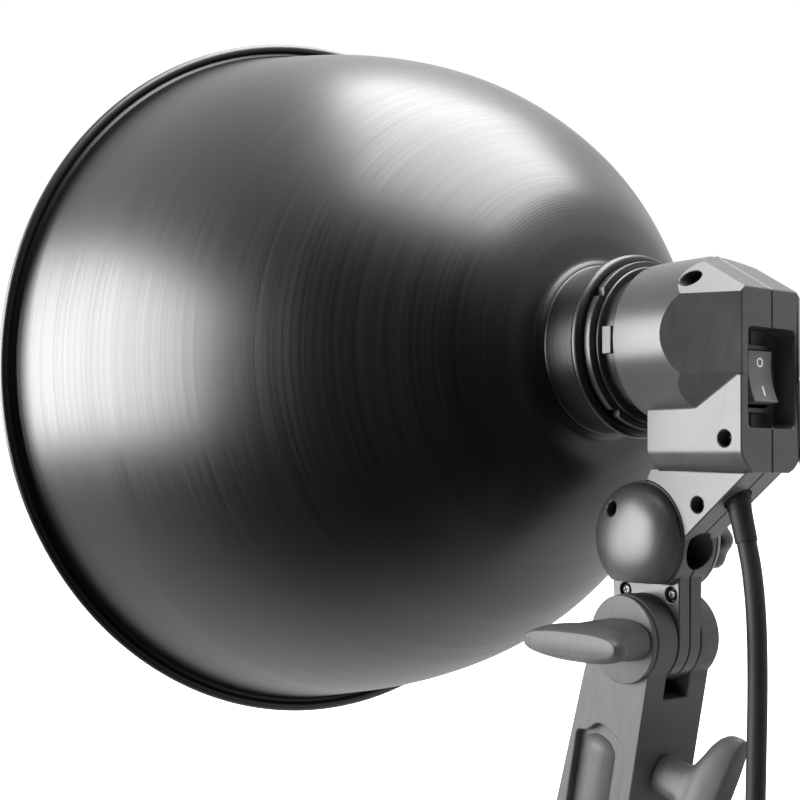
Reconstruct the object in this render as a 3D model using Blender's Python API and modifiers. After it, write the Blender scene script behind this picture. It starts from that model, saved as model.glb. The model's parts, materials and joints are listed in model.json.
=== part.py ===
"""Studio lamp head with a spun bowl reflector, a rocker switch and a tilting stand bracket.

The stand axis is +Z with the origin in the mouth of the stand socket. The lamp shines toward -Y,
a little downward. Head pieces are drawn in the lamp's own frame: its origin is on the lamp axis at
the barrel's front edge, +Y points to the rear, and the lamp_axis empty carries them to their place.
Sizes are in millimetres and turned into metres as the meshes are made.
"""
import math

import bpy
import bmesh
from mathutils import Matrix, Vector

MM = 0.001
GAP = 0.3

# Stand bracket, measured from the tilt pivot.
PIVOT = Vector((0.0, 5.3, 75.0))
HEAD_TILT = math.radians(11.4)
PIVOT_IN_HEAD = Vector((0.0, -5.5, -95.0))
CHEEK_RADIUS = 14.3
FORK_HALF_WIDTH = 14.0
SLOT_HALF_WIDTH = 5.4
SLOT_FLOOR = -17.0
BRACKET_REAR = 11.5
BOLT_RADIUS = 2.9
BOLT_HOLE = 3.3
SOCKET_BORE = 8.1
SOCKET_RADIUS = 9.6
SOCKET_TOP = -37.0
POCKET_FLOOR = 11.2
COLUMN_RADIUS = 12.2
COLUMN_Y = -6.8
LOCK_HEIGHT = 33.0
LOCK_LEAN = math.radians(-20.0)
LEVER_REST = math.radians(13.5)

# Lamp barrel and the ring stack in front of it.
BARREL_RADIUS = 26.0
BARREL_LENGTH = 21.0
HOUSING_REAR = 41.0
REAR_TRIM = 44.0
CONE_RADIUS = 19.5
REAR_HALF_WIDTH = 13.6
FACET_HALF_HEIGHT = 12.0
SLEEVE_RADIUS = 23.6
SLEEVE_BORE = 19.6
SOCKET_BODY_RADIUS = 19.2
SHELL_RADIUS = 14.2
CAP_RADIUS = 13.2

# Lower housing.
PANEL_HALF_WIDTH = 14.0
PANEL_TOP = -12.6
PANEL_BOTTOM = -35.4
WEB_HALF_WIDTH = 8.0
WEB_TOP = -41.5
DISC_CENTRE = (-5.3, -63.0)
DISC_RADIUS = 18.5
DISC_FLOOR = -77.0
DOME_DEPTH = 10.0
DOME_POWER = 2.6
TONGUE_HALF_WIDTH = 5.0
UMBRELLA_HOLE = 5.8
UMBRELLA_Z = -66.3
KNOB_CENTRE = (-5.3, -64.0)

# Rocker switch on the floor of the rear recess.
RECESS_FLOOR = 32.8
SWITCH_Z = -13.0
ROCKER_AXIS_Y = 34.0
ROCKER_THROW = math.radians(9.0)

# Bowl reflector.
DISH_REAR = 12.5
DISH_NECK = 28.7
DISH_FRONT = 209.0
DISH_RADIUS = 148.8
DISH_SHEET = 1.2
RIM_BEAD = 2.2
DISH_SHOULDER = 30.5
BOWL = ((DISH_SHOULDER, 31.6), (33.0, 42.0), (41.0, 57.2), (57.0, 75.4), (81.0, 97.8), (113.0, 117.6),
        (153.0, 132.4), (DISH_FRONT - 4.0, DISH_RADIUS - 4.4))
RIM_FLANGE = ((DISH_FRONT - 2.2, DISH_RADIUS - 3.6), (DISH_FRONT - 0.9, DISH_RADIUS - 2.4))

# Mains cord: it hangs behind the bracket, is wound into a tied coil and ends in its plug.
CORD_RADIUS = 3.0
COIL_MEAN_RADIUS = 36.0
COIL_HALF_DEPTH = 12.5
COIL_HALF_WIDTH = 6.3
COIL_LAYER = 3.1
COIL_CENTRE = Vector((-45.3, 59.6, -22.0))
COIL_REACH = 24.2
CORD_ROUTE = ((0, 34.3, 115.4), (0, 38.4, 106.4), (0, 42.2, 95.0), (0, 45.4, 82.0), (0, 48.2, 68.0),
              (0, 50.8, 53.0), (0, 53.2, 39.0), (0, 55.2, 26.0), (0, 56.2, 14.0),
              (0, COIL_CENTRE.y - COIL_LAYER, COIL_CENTRE.z + COIL_REACH))
TAIL_LENGTH = 15.0
TIE_WIDTH = 5.0
PLUG_LENGTH = 36.0
PLUG_HALF_WIDTH = 17.5
PLUG_HALF_THICKNESS = 6.9
PIN_SPACING = 19.0

for item in list(bpy.data.objects):
    bpy.data.objects.remove(item, do_unlink=True)

parts = bpy.data.collections.new("studio_lamp_head")
tools = bpy.data.collections.new("cutters")
bpy.context.scene.collection.children.link(parts)
bpy.context.scene.collection.children.link(tools)


# ---------------------------------------------------------------- materials
def material(name, colour, roughness, metallic=0.0):
    finish = bpy.data.materials.new(name)
    finish.use_nodes = True
    shader = finish.node_tree.nodes["Principled BSDF"]
    shader.inputs["Base Color"].default_value = (*colour, 1.0)
    shader.inputs["Roughness"].default_value = roughness
    shader.inputs["Metallic"].default_value = metallic
    return finish


BLACK_ALUMINIUM = material("black_spun_aluminium", (0.03, 0.03, 0.032), 0.35, 0.6)
HOUSING_PLASTIC = material("grey_black_plastic", (0.09, 0.09, 0.09), 0.38)
BRACKET_PLASTIC = material("bracket_plastic", (0.11, 0.11, 0.11), 0.45)
BLACK_PLASTIC = material("black_plastic", (0.015, 0.015, 0.015), 0.35)
STEEL = material("plated_steel", (0.6, 0.6, 0.6), 0.28, 1.0)
BLACKENED_STEEL = material("blackened_steel", (0.09, 0.09, 0.09), 0.35, 1.0)
BRASS = material("brass", (0.7, 0.5, 0.22), 0.3, 1.0)
PORCELAIN = material("porcelain", (0.8, 0.79, 0.75), 0.25)
OPAL_GLASS = material("opal_glass", (0.85, 0.85, 0.83), 0.2)
FIBRE = material("friction_fibre", (0.25, 0.14, 0.08), 0.8)
CORD_RUBBER = material("cord_rubber", (0.012, 0.012, 0.012), 0.55)
WIRE_RUBBER = material("wire_insulation", (0.25, 0.1, 0.05), 0.5)


# ---------------------------------------------------------------- shape helpers
def place(obj, collection, parent=None, finish=None):
    collection.objects.link(obj)
    obj.parent = parent
    if finish:
        obj.data.materials.append(finish)
    if collection is tools:
        obj.hide_render = True
        obj.display_type = "WIRE"
    return obj


def flatten(work):
    """Make each flat patch a single face."""
    bmesh.ops.dissolve_limit(work, angle_limit=math.radians(0.2), verts=work.verts, edges=work.edges)


def bake(source, name, collection, parent, finish, turn=Matrix.Identity(4)):
    """Turn an object and its modifiers into a welded mesh in its parent's frame."""
    bpy.context.view_layer.update()
    evaluated = source.evaluated_get(bpy.context.evaluated_depsgraph_get())
    mesh = bpy.data.meshes.new_from_object(evaluated)
    bpy.data.objects.remove(source, do_unlink=True)
    work = bmesh.new()
    work.from_mesh(mesh)
    bmesh.ops.remove_doubles(work, verts=work.verts, dist=0.00001)
    bmesh.ops.transform(work, matrix=turn, verts=work.verts)
    flatten(work)
    bmesh.ops.recalc_face_normals(work, faces=work.faces)
    work.to_mesh(mesh)
    work.free()
    mesh.materials.clear()
    mesh.set_sharp_from_angle(angle=math.radians(35))
    return place(bpy.data.objects.new(name, mesh), collection, parent, finish)


# Local +Z runs along +X, -Y or +Z. Outlines are (y, z), (x, z) and (x, y).
AXIS_TURN = {
    "X": Matrix(((0, 0, 1, 0), (1, 0, 0, 0), (0, 1, 0, 0), (0, 0, 0, 1))),
    "Y": Matrix(((1, 0, 0, 0), (0, 0, -1, 0), (0, 1, 0, 0), (0, 0, 0, 1))),
    "Z": Matrix.Identity(4),
}


def arc(centre, radius, start, end, count):
    """Points on an arc, in degrees."""
    steps = [math.radians(start + (end - start) * i / count) for i in range(count + 1)]
    return [(centre[0] + radius * math.cos(a), centre[1] + radius * math.sin(a)) for a in steps]


def rounded_box(half_a, half_b, radius, centre=(0.0, 0.0), count=3):
    a, b = half_a - radius, half_b - radius
    corners = ((a, b, 0), (-a, b, 90), (-a, -b, 180), (a, -b, 270))
    points = []
    for x, y, start in corners:
        points += arc((centre[0] + x, centre[1] + y), radius, start, start + 90, count)
    return points


def prism(name, outlines, axis, low, high, collection=tools, parent=None, finish=None):
    """A flat outline, with any holes, given thickness from low to high along an axis."""
    curve = bpy.data.curves.new(name, "CURVE")
    curve.dimensions = "2D"
    curve.fill_mode = "BOTH"
    curve.extrude = (high - low) * MM / 2
    if isinstance(outlines[0][0], (int, float)):
        outlines = [outlines]
    for outline in outlines:
        spline = curve.splines.new("POLY")
        spline.points.add(len(outline) - 1)
        for point, (a, b) in zip(spline.points, outline):
            point.co = (a * MM, b * MM, 0, 1)
        spline.use_cyclic_u = True
    source = place(bpy.data.objects.new(name, curve), tools)
    middle = (low + high) * MM / 2
    if axis == "Y":
        middle = -middle
    turn = AXIS_TURN[axis] @ Matrix.Translation((0, 0, middle))
    return bake(source, name, collection, parent, finish, turn)


def turned(name, profile, axis="Y", centre=(0, 0, 0), steps=32, collection=tools, parent=None,
           finish=None, closed=True):
    """A profile of (height, radius) points turned about an axis.

    Along Y the heights run forward, toward -Y. An open profile starts and ends on the axis.
    """
    mesh = bpy.data.meshes.new(name)
    verts = [(r * MM, 0, h * MM) for h, r in profile]
    count = len(verts)
    edges = [(i, (i + 1) % count) for i in range(count if closed else count - 1)]
    mesh.from_pydata(verts, edges, [])
    source = place(bpy.data.objects.new(name, mesh), tools)
    screw = source.modifiers.new("turn", "SCREW")
    screw.steps = steps
    screw.render_steps = steps
    screw.use_merge_vertices = True
    screw.merge_threshold = 0.00001
    turn = Matrix.Translation(Vector(centre) * MM) @ AXIS_TURN[axis]
    return bake(source, name, collection, parent, finish, turn)


def rod(name, radius, axis, low, high, centre=(0, 0, 0), steps=24, **where):
    """A plain cylinder between two heights along an axis."""
    profile = [(high, 0), (high, radius), (low, radius), (low, 0)]
    return turned(name, profile, axis, centre, steps, closed=False, **where)


def ring(name, outer, inner, axis, low, high, centre=(0, 0, 0), steps=32, **where):
    profile = [(high, inner), (high, outer), (low, outer), (low, inner)]
    return turned(name, profile, axis, centre, steps, **where)


def hexagon(radius, centre=(0.0, 0.0)):
    return arc(centre, radius, 0, 300, 5)


def smooth_path(points, per_span):
    """Points on a Catmull-Rom curve through the given ones."""
    points = [Vector(p) for p in points]
    points = [points[0] * 2 - points[1]] + points + [points[-1] * 2 - points[-2]]
    path = []
    for a, b, c, d in zip(points, points[1:], points[2:], points[3:]):
        for i in range(per_span):
            t = i / per_span
            path.append(0.5 * (2 * b + (c - a) * t + (2 * a - 5 * b + 4 * c - d) * t * t
                               + (3 * b - a - 3 * c + d) * t ** 3))
    path.append(points[-2])
    return path


def tube(name, path, radius, parent, finish, collection=parts, resolution=2):
    curve = bpy.data.curves.new(name, "CURVE")
    curve.dimensions = "3D"
    curve.bevel_depth = radius * MM
    curve.bevel_resolution = resolution
    curve.use_fill_caps = True
    spline = curve.splines.new("POLY")
    spline.points.add(len(path) - 1)
    for point, place_mm in zip(spline.points, path):
        point.co = (*(Vector(place_mm) * MM), 1)
    return bake(place(bpy.data.objects.new(name, curve), tools), name, collection, parent, finish)


def boolean(target, operation, others):
    for other in others:
        step = target.modifiers.new(operation.lower(), "BOOLEAN")
        step.operation = operation
        step.object = other
        step.solver = "EXACT"
    return target


def cut(target, *others):
    return boolean(target, "DIFFERENCE", others)


def join(target, *others):
    return boolean(target, "UNION", others)


def bevel(target, width, segments=2, angle=35):
    step = target.modifiers.new("edges", "BEVEL")
    step.width = width * MM
    step.segments = segments
    step.limit_method = "ANGLE"
    step.angle_limit = math.radians(angle)
    return target


def empty(name, location, parent=None, turn=0.0, axis="X"):
    node = bpy.data.objects.new(name, None)
    tools.objects.link(node)
    node.parent = parent
    node.location = Vector(location) * MM
    node.rotation_euler = Matrix.Rotation(turn, 4, axis).to_euler()
    return node


tilt_axis = empty("tilt_axis", PIVOT, turn=HEAD_TILT)
lamp_axis = empty("lamp_axis", -PIVOT_IN_HEAD, tilt_axis)
rocker_axis = empty("rocker_axis", (0, ROCKER_AXIS_Y, SWITCH_Z), lamp_axis, ROCKER_THROW)
knob_axis = empty("umbrella_lock_axis", (0, *KNOB_CENTRE), lamp_axis)
lever_axis = empty("tilt_lever_axis", PIVOT)
lock_axis = empty("stand_lock_axis", (0, 0, LOCK_HEIGHT), turn=LOCK_LEAN, axis="Y")
pivot_frame = empty("bracket_frame", PIVOT)


# ---------------------------------------------------------------- reflector and ring stack
def inset(outline, depth):
    """The middle of each stretch of an outline, moved inward by a depth."""
    points = []
    for (h0, r0), (h1, r1) in zip(outline, outline[1:]):
        run = math.hypot(h1 - h0, r1 - r0)
        points.append(((h0 + h1) / 2 + (r1 - r0) / run * depth, (r0 + r1) / 2 - (h1 - h0) / run * depth))
    return points


def reflector():
    """The bowl: a beaded mouth that seats on the sleeve, a short neck, the flare and a rolled rim."""
    seat, neck = SLEEVE_RADIUS + 0.6, DISH_NECK - DISH_SHEET
    bowl = [(p.x, p.y) for p in smooth_path([(h, r, 0) for h, r in BOWL], 2)] + list(RIM_FLANGE)
    bead = arc((DISH_FRONT, DISH_RADIUS), RIM_BEAD, 240, -60, 8)
    profile = arc((DISH_REAR + 0.6, 28.9), 1.9, 180, 0, 4)
    profile += [(DISH_REAR + 2.6, DISH_NECK), (DISH_SHOULDER - 1.5, DISH_NECK)] + bowl[:-1] + bead
    profile += inset(bowl, DISH_SHEET)[:0:-1]
    profile += [(DISH_SHOULDER - 0.5, neck), (DISH_REAR + 1.2, neck), (DISH_REAR + 1.2, seat),
                (DISH_REAR - 0.4, seat)]
    turned("reflector_dish", profile, steps=40, collection=parts, parent=lamp_axis, finish=BLACK_ALUMINIUM)


def ring_stack():
    """The threaded sleeve, the reflector lock ring behind the bowl and the clamp ring inside it."""
    sleeve = [(26.0, SLEEVE_RADIUS), (7.6, SLEEVE_RADIUS), (7.6, BARREL_RADIUS), (6.2, BARREL_RADIUS),
              (6.2, SLEEVE_RADIUS), (-14.3, SLEEVE_RADIUS), (-14.3, 24.5), (-16.3, 24.5),
              (-16.3, SLEEVE_BORE), (26.0, SLEEVE_BORE)]
    turned("socket_sleeve", sleeve, collection=parts, parent=lamp_axis, finish=BLACK_PLASTIC)
    prism("key_tab", rounded_box(2.0, 4.5, 0.5, (-3.2, 0)), "X", SLEEVE_RADIUS + GAP, 25.4,
          parts, lamp_axis, HOUSING_PLASTIC)
    lock = ring("reflector_lock_ring", 28.0, SLEEVE_RADIUS + GAP, "Y", 8.0, DISH_REAR - 1.6,
                steps=40, collection=parts, parent=lamp_axis, finish=BLACK_PLASTIC)
    notches = [prism("ring_notch", rounded_box(1.6, 1.6, 0.4, (28.4 * math.cos(a), 28.4 * math.sin(a))),
                     "Y", -12.4, -7.4, parent=lamp_axis)
               for a in (math.radians(35 + 90 * k) for k in range(4))]
    cut(lock, *notches)
    ring("reflector_clamp_ring", 27.0, SLEEVE_RADIUS + GAP, "Y", DISH_REAR + 1.6,
         DISH_REAR + 5.0, steps=32, collection=parts, parent=lamp_axis, finish=STEEL)


# ---------------------------------------------------------------- lamp socket and bulb
def lamp_socket():
    body = [(-3.6, 0), (-3.6, SHELL_RADIUS + GAP), (19.0, SHELL_RADIUS + GAP),
            (19.0, SOCKET_BODY_RADIUS), (-10.0, SOCKET_BODY_RADIUS), (-10.0, 0)]
    turned("socket_body", body, closed=False, steps=32, collection=parts, parent=lamp_axis,
           finish=PORCELAIN)
    ring("screw_shell", SHELL_RADIUS, SHELL_RADIUS - 0.6, "Y", -1.6, 18.0, steps=28,
         collection=parts, parent=lamp_axis, finish=BRASS)
    leaf = [(3.3, -7.0), (2.6, -7.0), (2.6, -3.5), (0.6, 1.0), (0.6, 2.5), (1.3, 2.5), (1.3, 1.3),
            (3.3, -3.2)]
    prism("centre_contact", leaf, "X", -2.5, 2.5, parts, lamp_axis, BRASS)


def bulb():
    cap = [(5.0, 0), (5.0, CAP_RADIUS - 1.2), (28.0, CAP_RADIUS - 0.4), (28.0, CAP_RADIUS + 0.8),
           (24.0, CAP_RADIUS), (3.0, CAP_RADIUS), (0.4, 6.0), (-0.2, 3.0), (-0.2, 0)]
    turned("bulb_cap", cap, steps=28, closed=False, collection=parts, parent=lamp_axis, finish=BRASS)
    centre, radius, neck, glass = (82.0, 0.0), 37.5, CAP_RADIUS + 1.6, 1.0
    outer = arc(centre, radius, 0, 138, 8) + [(40.0, neck + 1.5), (28.4, neck)]
    inner = [(28.4, neck - glass), (40.0, neck + 1.5 - glass)] + arc(centre, radius - glass, 138, 0, 8)
    turned("bulb_glass", outer + inner, steps=28, closed=False, collection=parts, parent=lamp_axis,
           finish=OPAL_GLASS)


# ---------------------------------------------------------------- housing
SCREWS = ((34.6, -31.4, 8.0), (18.8, -51.6, 2.0), (25.0, 17.0, 9.0), (-11.5, -53.7, 7.0))
TONGUE_SCREWS = ((-14.6, -80.5), (5.3, -80.5))
CORD_EXIT = Vector((0.0, 28.0, -50.0))
CORD_DIRECTION = Vector((0.0, 0.25, -0.968)).normalized()


def outer_housing():
    shoulder = [(-23.0, BARREL_RADIUS), (-26.0, 25.7), (-29.0, 25.0), (-32.0, 24.1), (-35.0, 22.9),
                (-38.0, 21.4)]
    barrel = turned("barrel_form", [(0, 0), (0, BARREL_RADIUS)] + shoulder
                    + [(-HOUSING_REAR, CONE_RADIUS), (-REAR_TRIM, CONE_RADIUS), (-REAR_TRIM, 0)],
                    steps=52, closed=False, parent=lamp_axis)
    far = 60.0
    side = [(BARREL_RADIUS, BARREL_LENGTH - 1), (REAR_HALF_WIDTH, HOUSING_REAR),
            (REAR_HALF_WIDTH, far), (far, far), (far, BARREL_LENGTH - 1)]
    right = prism("right_facet", side, "Z", -far, far, parent=lamp_axis)
    left = prism("left_facet", [(-a, b) for a, b in side], "Z", -far, far, parent=lamp_axis)
    top = prism("top_facet", [(b, a) for a, b in side], "X", -far, far, parent=lamp_axis)
    corners = [corner_facet(f"corner_{i}", *signs)
               for i, signs in enumerate(((1, 1), (-1, 1), (1, -1), (-1, -1)))]
    cut(barrel, right, left, top, *corners)
    edge = [(PANEL_HALF_WIDTH, PANEL_TOP), (PANEL_HALF_WIDTH, PANEL_BOTTOM + 0.8), (13.5, -36.4),
            (12.2, -38.4), (10.4, -40.3), (WEB_HALF_WIDTH, WEB_TOP)]
    panel = edge + [(-a, b) for a, b in edge[::-1]]
    block = prism("panel_form", panel, "Y", 3.4, REAR_TRIM + 1, parent=lamp_axis)
    web = [(38.0, WEB_TOP + 1), (-0.6, WEB_TOP + 1)]
    web += arc(DISC_CENTRE, DISC_RADIUS, 83, 229.2, 14)
    web += arc(DISC_CENTRE, DISC_RADIUS, 310.8, 361.5, 6)
    web += [(16.0, -60.0), (38.0, WEB_TOP)]
    plate = prism("web_form", web, "X", -WEB_HALF_WIDTH, WEB_HALF_WIDTH, parent=lamp_axis)
    y, z = PIVOT_IN_HEAD.y, PIVOT_IN_HEAD.z
    tongue = arc((y, z), CHEEK_RADIUS, 180, 360, 16) + [(y + CHEEK_RADIUS, -70), (y - CHEEK_RADIUS, -70)]
    fin = prism("tongue_form", tongue, "X", -TONGUE_HALF_WIDTH, TONGUE_HALF_WIDTH, parent=lamp_axis)
    domes = [dome("dome_form_right", 1), dome("dome_form_left", -1)]
    join(barrel, block, plate, fin, *domes)
    trim = prism("rear_trim", [(-far, -far), (far, -far), (far, far), (-far, far)], "Y", HOUSING_REAR,
                 far, parent=lamp_axis)
    return cut(barrel, trim)


def corner_facet(name, across, up):
    """A slab that cuts a flat over the corner between a side facet and the top or bottom."""
    slope = (BARREL_RADIUS - REAR_HALF_WIDTH) / (HOUSING_REAR - BARREL_LENGTH + 1)
    slab = prism(name, [(-70, -70), (70, -70), (70, 70), (-70, 70)], "Z", 0, 60, parent=lamp_axis)
    turn = Vector((across, slope, up)).to_track_quat("Z", "Y").to_matrix().to_4x4()
    corner = Vector((across * REAR_HALF_WIDTH, HOUSING_REAR, up * FACET_HALF_HEIGHT))
    slab.data.transform(Matrix.Translation(corner * MM) @ turn)
    return slab


def dome(name, side):
    """An egg-shaped boss on one side of the disc, cut flat underneath."""
    work = bmesh.new()
    bmesh.ops.create_uvsphere(work, u_segments=20, v_segments=13, radius=1)
    for vert in work.verts:
        radial = math.hypot(vert.co.x, vert.co.y)
        vert.co *= (abs(vert.co.z) ** DOME_POWER + radial ** DOME_POWER) ** (-1 / DOME_POWER) * MM
    scale = Matrix.Diagonal((DOME_DEPTH, DISC_RADIUS - 0.3, DISC_RADIUS - 0.3, 1))
    turn = Matrix.Rotation(math.pi / 2, 4, "Y")
    shift = Matrix.Translation(Vector((6.0 * side, *DISC_CENTRE)) * MM)
    bmesh.ops.transform(work, matrix=shift @ scale @ turn, verts=work.verts)
    floor = Vector((0, 0, DISC_FLOOR)) * MM
    cutting = bmesh.ops.bisect_plane(work, geom=work.verts[:] + work.edges[:] + work.faces[:],
                                     plane_co=floor, plane_no=(0, 0, -1), clear_outer=True)
    rim = [e for e in cutting["geom_cut"] if isinstance(e, bmesh.types.BMEdge)]
    bmesh.ops.contextual_create(work, geom=rim)
    bmesh.ops.recalc_face_normals(work, faces=work.faces)
    mesh = bpy.data.meshes.new(name)
    work.to_mesh(mesh)
    work.free()
    return place(bpy.data.objects.new(name, mesh), tools, lamp_axis)


def housing_hollows():
    """Everything that is open inside the joined halves."""
    barrel = turned("barrel_hollow", [(2.0, 0), (2.0, 23.9), (-14.0, 23.9), (-14.0, 24.9),
                                      (-16.6, 24.9), (-16.6, 22.6), (-21.0, 22.6), (-21.0, 0)],
                    steps=48, closed=False, parent=lamp_axis)
    rear = prism("rear_hollow", rounded_box(11.4, 21.8, 2.0, (0, -10.8)), "Y", 20.0, 30.3,
                 parent=lamp_axis)
    lower = prism("lower_hollow", [(-11.8, -17.0), (11.8, -17.0), (11.8, -33.4), (-11.8, -33.4)],
                  "Y", 5.8, 29.9, parent=lamp_axis)
    web = prism("web_hollow", [(-5.6, -32.0), (5.6, -32.0), (5.6, -45.0), (-5.6, -45.0)],
                "Y", 4.4, 29.5, parent=lamp_axis)
    recess = prism("switch_recess", rounded_box(10.8, 15.05, 2.0, (0, -13.15)), "Y", RECESS_FLOOR,
                   HOUSING_REAR + 4, parent=lamp_axis)
    switch = prism("switch_hole", rounded_box(6.9, 9.9, 0.5, (0, SWITCH_Z)), "Y", 28.0,
                   RECESS_FLOOR + 1, parent=lamp_axis)
    umbrella = rod("umbrella_bore", UMBRELLA_HOLE, "Y", -30, 40, (0, 0, UMBRELLA_Z), parent=lamp_axis)
    stud = rod("knob_bore", 2.9, "X", -30, 0, (0, *KNOB_CENTRE), parent=lamp_axis)
    nut = prism("knob_nut_pocket", hexagon(5.1, KNOB_CENTRE), "X", -11.2, -7.2, parent=lamp_axis)
    pivot = rod("tongue_bore", BOLT_HOLE + 0.1, "X", -20, 20, (0, PIVOT_IN_HEAD.y, PIVOT_IN_HEAD.z),
                parent=lamp_axis)
    gland = cord_gland_hole()
    hollows = [barrel, rear, lower, web, recess, switch, umbrella, stud, nut, pivot, gland]
    for y, z, seat in SCREWS:
        hollows.append(rod("screw_head_hole", 2.5, "X", seat, 30, (0, y, z), 16, parent=lamp_axis))
        hollows.append(rod("screw_hole", 1.6, "X", -7, seat + 0.5, (0, y, z), 12, parent=lamp_axis))
    for y, z in TONGUE_SCREWS:
        hollows.append(rod("screw_head_hole", 2.4, "X", 3.2, 12, (0, y, z), 16, parent=lamp_axis))
        hollows.append(rod("screw_hole", 1.2, "X", -4, 3.4, (0, y, z), 12, parent=lamp_axis))
    return hollows


def along_cord(obj):
    """Carry a piece drawn about local -Y onto the line where the cord leaves the housing."""
    turn = Vector((0, -1, 0)).rotation_difference(CORD_DIRECTION).to_matrix().to_4x4()
    obj.data.transform(Matrix.Translation(CORD_EXIT * MM) @ turn)
    return obj


def cord_gland_hole():
    return along_cord(rod("gland_hole", 4.4, "Y", -12, 20, parent=lamp_axis))


def housing_halves():
    """Two mirrored shells that meet on the middle plane and hold everything between them."""
    outer = outer_housing()
    hollows = housing_hollows()
    for name, side in (("housing_right", 1), ("housing_left", -1)):
        mesh = evaluated_mesh(outer)
        half = place(bpy.data.objects.new(name, mesh), parts, lamp_axis)
        mesh.materials.clear()
        mesh.materials.append(HOUSING_PLASTIC)
        seam = 0.15
        near, far = (-60.0, seam) if side > 0 else (-seam, 60.0)
        other = prism("far_side", [(near, -130), (far, -130), (far, 60), (near, 60)], "Y", -60, 90,
                      parent=lamp_axis)
        cut(half, other, *hollows)


def evaluated_mesh(obj):
    bpy.context.view_layer.update()
    evaluated = obj.evaluated_get(bpy.context.evaluated_depsgraph_get())
    mesh = bpy.data.meshes.new_from_object(evaluated)
    work = bmesh.new()
    work.from_mesh(mesh)
    bmesh.ops.remove_doubles(work, verts=work.verts, dist=0.00001)
    flatten(work)
    work.to_mesh(mesh)
    work.free()
    return mesh


def screws(name, spots, head_radius, head_height, shank_radius, tip):
    """Identical screws along X, each in its own node."""
    for i, (y, z, seat) in enumerate(spots, 1):
        top = seat + GAP + head_height
        profile = [(top, 0), (top, head_radius * 0.7), (top - 0.4, head_radius), (seat + GAP, head_radius),
                   (seat + GAP, shank_radius), (tip, shank_radius), (tip - 0.6, 0)]
        turned(f"{name}_{i}", profile, "X", (0, y, z), 12, closed=False, collection=parts,
               parent=lamp_axis, finish=BLACKENED_STEEL)


def fasteners():
    screws("housing_screw", SCREWS, 2.2, 1.8, 1.3, -6.0)
    screws("tongue_screw", [(y, z, 3.2) for y, z in TONGUE_SCREWS], 1.8, 1.3, 0.9, -3.0)


# ---------------------------------------------------------------- switch and wiring
def switch():
    low, high = RECESS_FLOOR + GAP, RECESS_FLOOR + GAP + 1.5
    body = prism("switch_frame", rounded_box(6.6, 9.6, 0.4, (0, SWITCH_Z)), "Y", 21.5, low + 0.5,
                 parts, lamp_axis, BLACK_PLASTIC)
    bezel = prism("switch_bezel", rounded_box(7.5, 10.5, 1.0, (0, SWITCH_Z)), "Y", low, high,
                  parent=lamp_axis)
    well = prism("switch_well", rounded_box(5.7, 8.7, 0.3, (0, SWITCH_Z)), "Y", 24.0, high + 1,
                 parent=lamp_axis)
    join(body, bezel)
    cut(body, well)
    paddle = [(4.0, 7.9), (2.8, 0.6), (2.8, -0.6), (4.0, -7.9), (-0.5, -7.9), (-3.6, -4.2), (-4.4, 0),
              (-3.6, 4.2), (-0.5, 7.9)]
    prism("switch_rocker", paddle, "X", -5.4, 5.4, parts, rocker_axis, BLACK_PLASTIC)
    for name, z in (("switch_terminal_upper", -8.0), ("switch_terminal_lower", -18.0)):
        prism(name, [(-2.4, z - 0.4), (2.4, z - 0.4), (2.4, z + 0.4), (-2.4, z + 0.4)], "Y", 15.6, 21.2,
              parts, lamp_axis, BRASS)


LEADS = {
    "lead_live": ((-1.6, 24.8, -38.2), (-4.5, 20.5, -31.0), (-6.2, 19.2, -24.0), (-5.4, 18.7, -19.2),
                  (-2.8, 18.5, -18.0)),
    "lead_switched": ((0.0, 15.2, -8.0), (0.0, 13.0, -5.0), (0.0, 12.6, 1.0), (0.0, 11.2, 5.0)),
    "lead_neutral": ((1.6, 24.8, -38.2), (4.5, 20.5, -31.0), (7.5, 19.2, -24.0), (9.3, 18.4, -16.5),
                     (10.0, 14.0, -8.0), (10.0, 11.2, -4.0)),
}


def wiring():
    for name, points in LEADS.items():
        tube(name, smooth_path(points, 2), 1.1, lamp_axis, WIRE_RUBBER)


# ---------------------------------------------------------------- umbrella lock
def umbrella_lock():
    lobes = 6
    knob = turned("umbrella_lock_knob", [(-18.3, 0), (-18.3, 8.5), (-19.3, 10.6), (-24.6, 10.6), (-26.4, 9.0),
                                         (-26.4, 0)], "X", steps=36, closed=False, collection=parts,
                  parent=knob_axis, finish=BLACK_PLASTIC)
    flutes = [rod("knob_flute", 2.6, "X", -30, -15, (0, 12.3 * math.cos(a), 12.3 * math.sin(a)), 12,
                  parent=knob_axis)
              for a in (2 * math.pi * k / lobes for k in range(lobes))]
    socket = rod("knob_stud_hole", 2.8, "X", -23.0, -10.0, parent=knob_axis, steps=16)
    cut(knob, socket, *flutes)
    rod("umbrella_lock_stud", 2.5, "X", -22.6, -5.9, collection=parts, parent=knob_axis, finish=STEEL,
        steps=16)
    nut = prism("umbrella_lock_nut", hexagon(4.8, KNOB_CENTRE), "X", -10.9, -7.5, parts, lamp_axis, BRASS)
    cut(nut, rod("nut_thread", 2.8, "X", -20, 0, (0, *KNOB_CENTRE), 16, parent=lamp_axis))


# ---------------------------------------------------------------- bracket
def bracket_outline():
    outline = arc((0, 0), CHEEK_RADIUS, -36, 180, 22)
    outline += [(-16.4, -15.0), (-21.5, -75.0), (BRACKET_REAR, -75.0)]
    return outline


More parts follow.
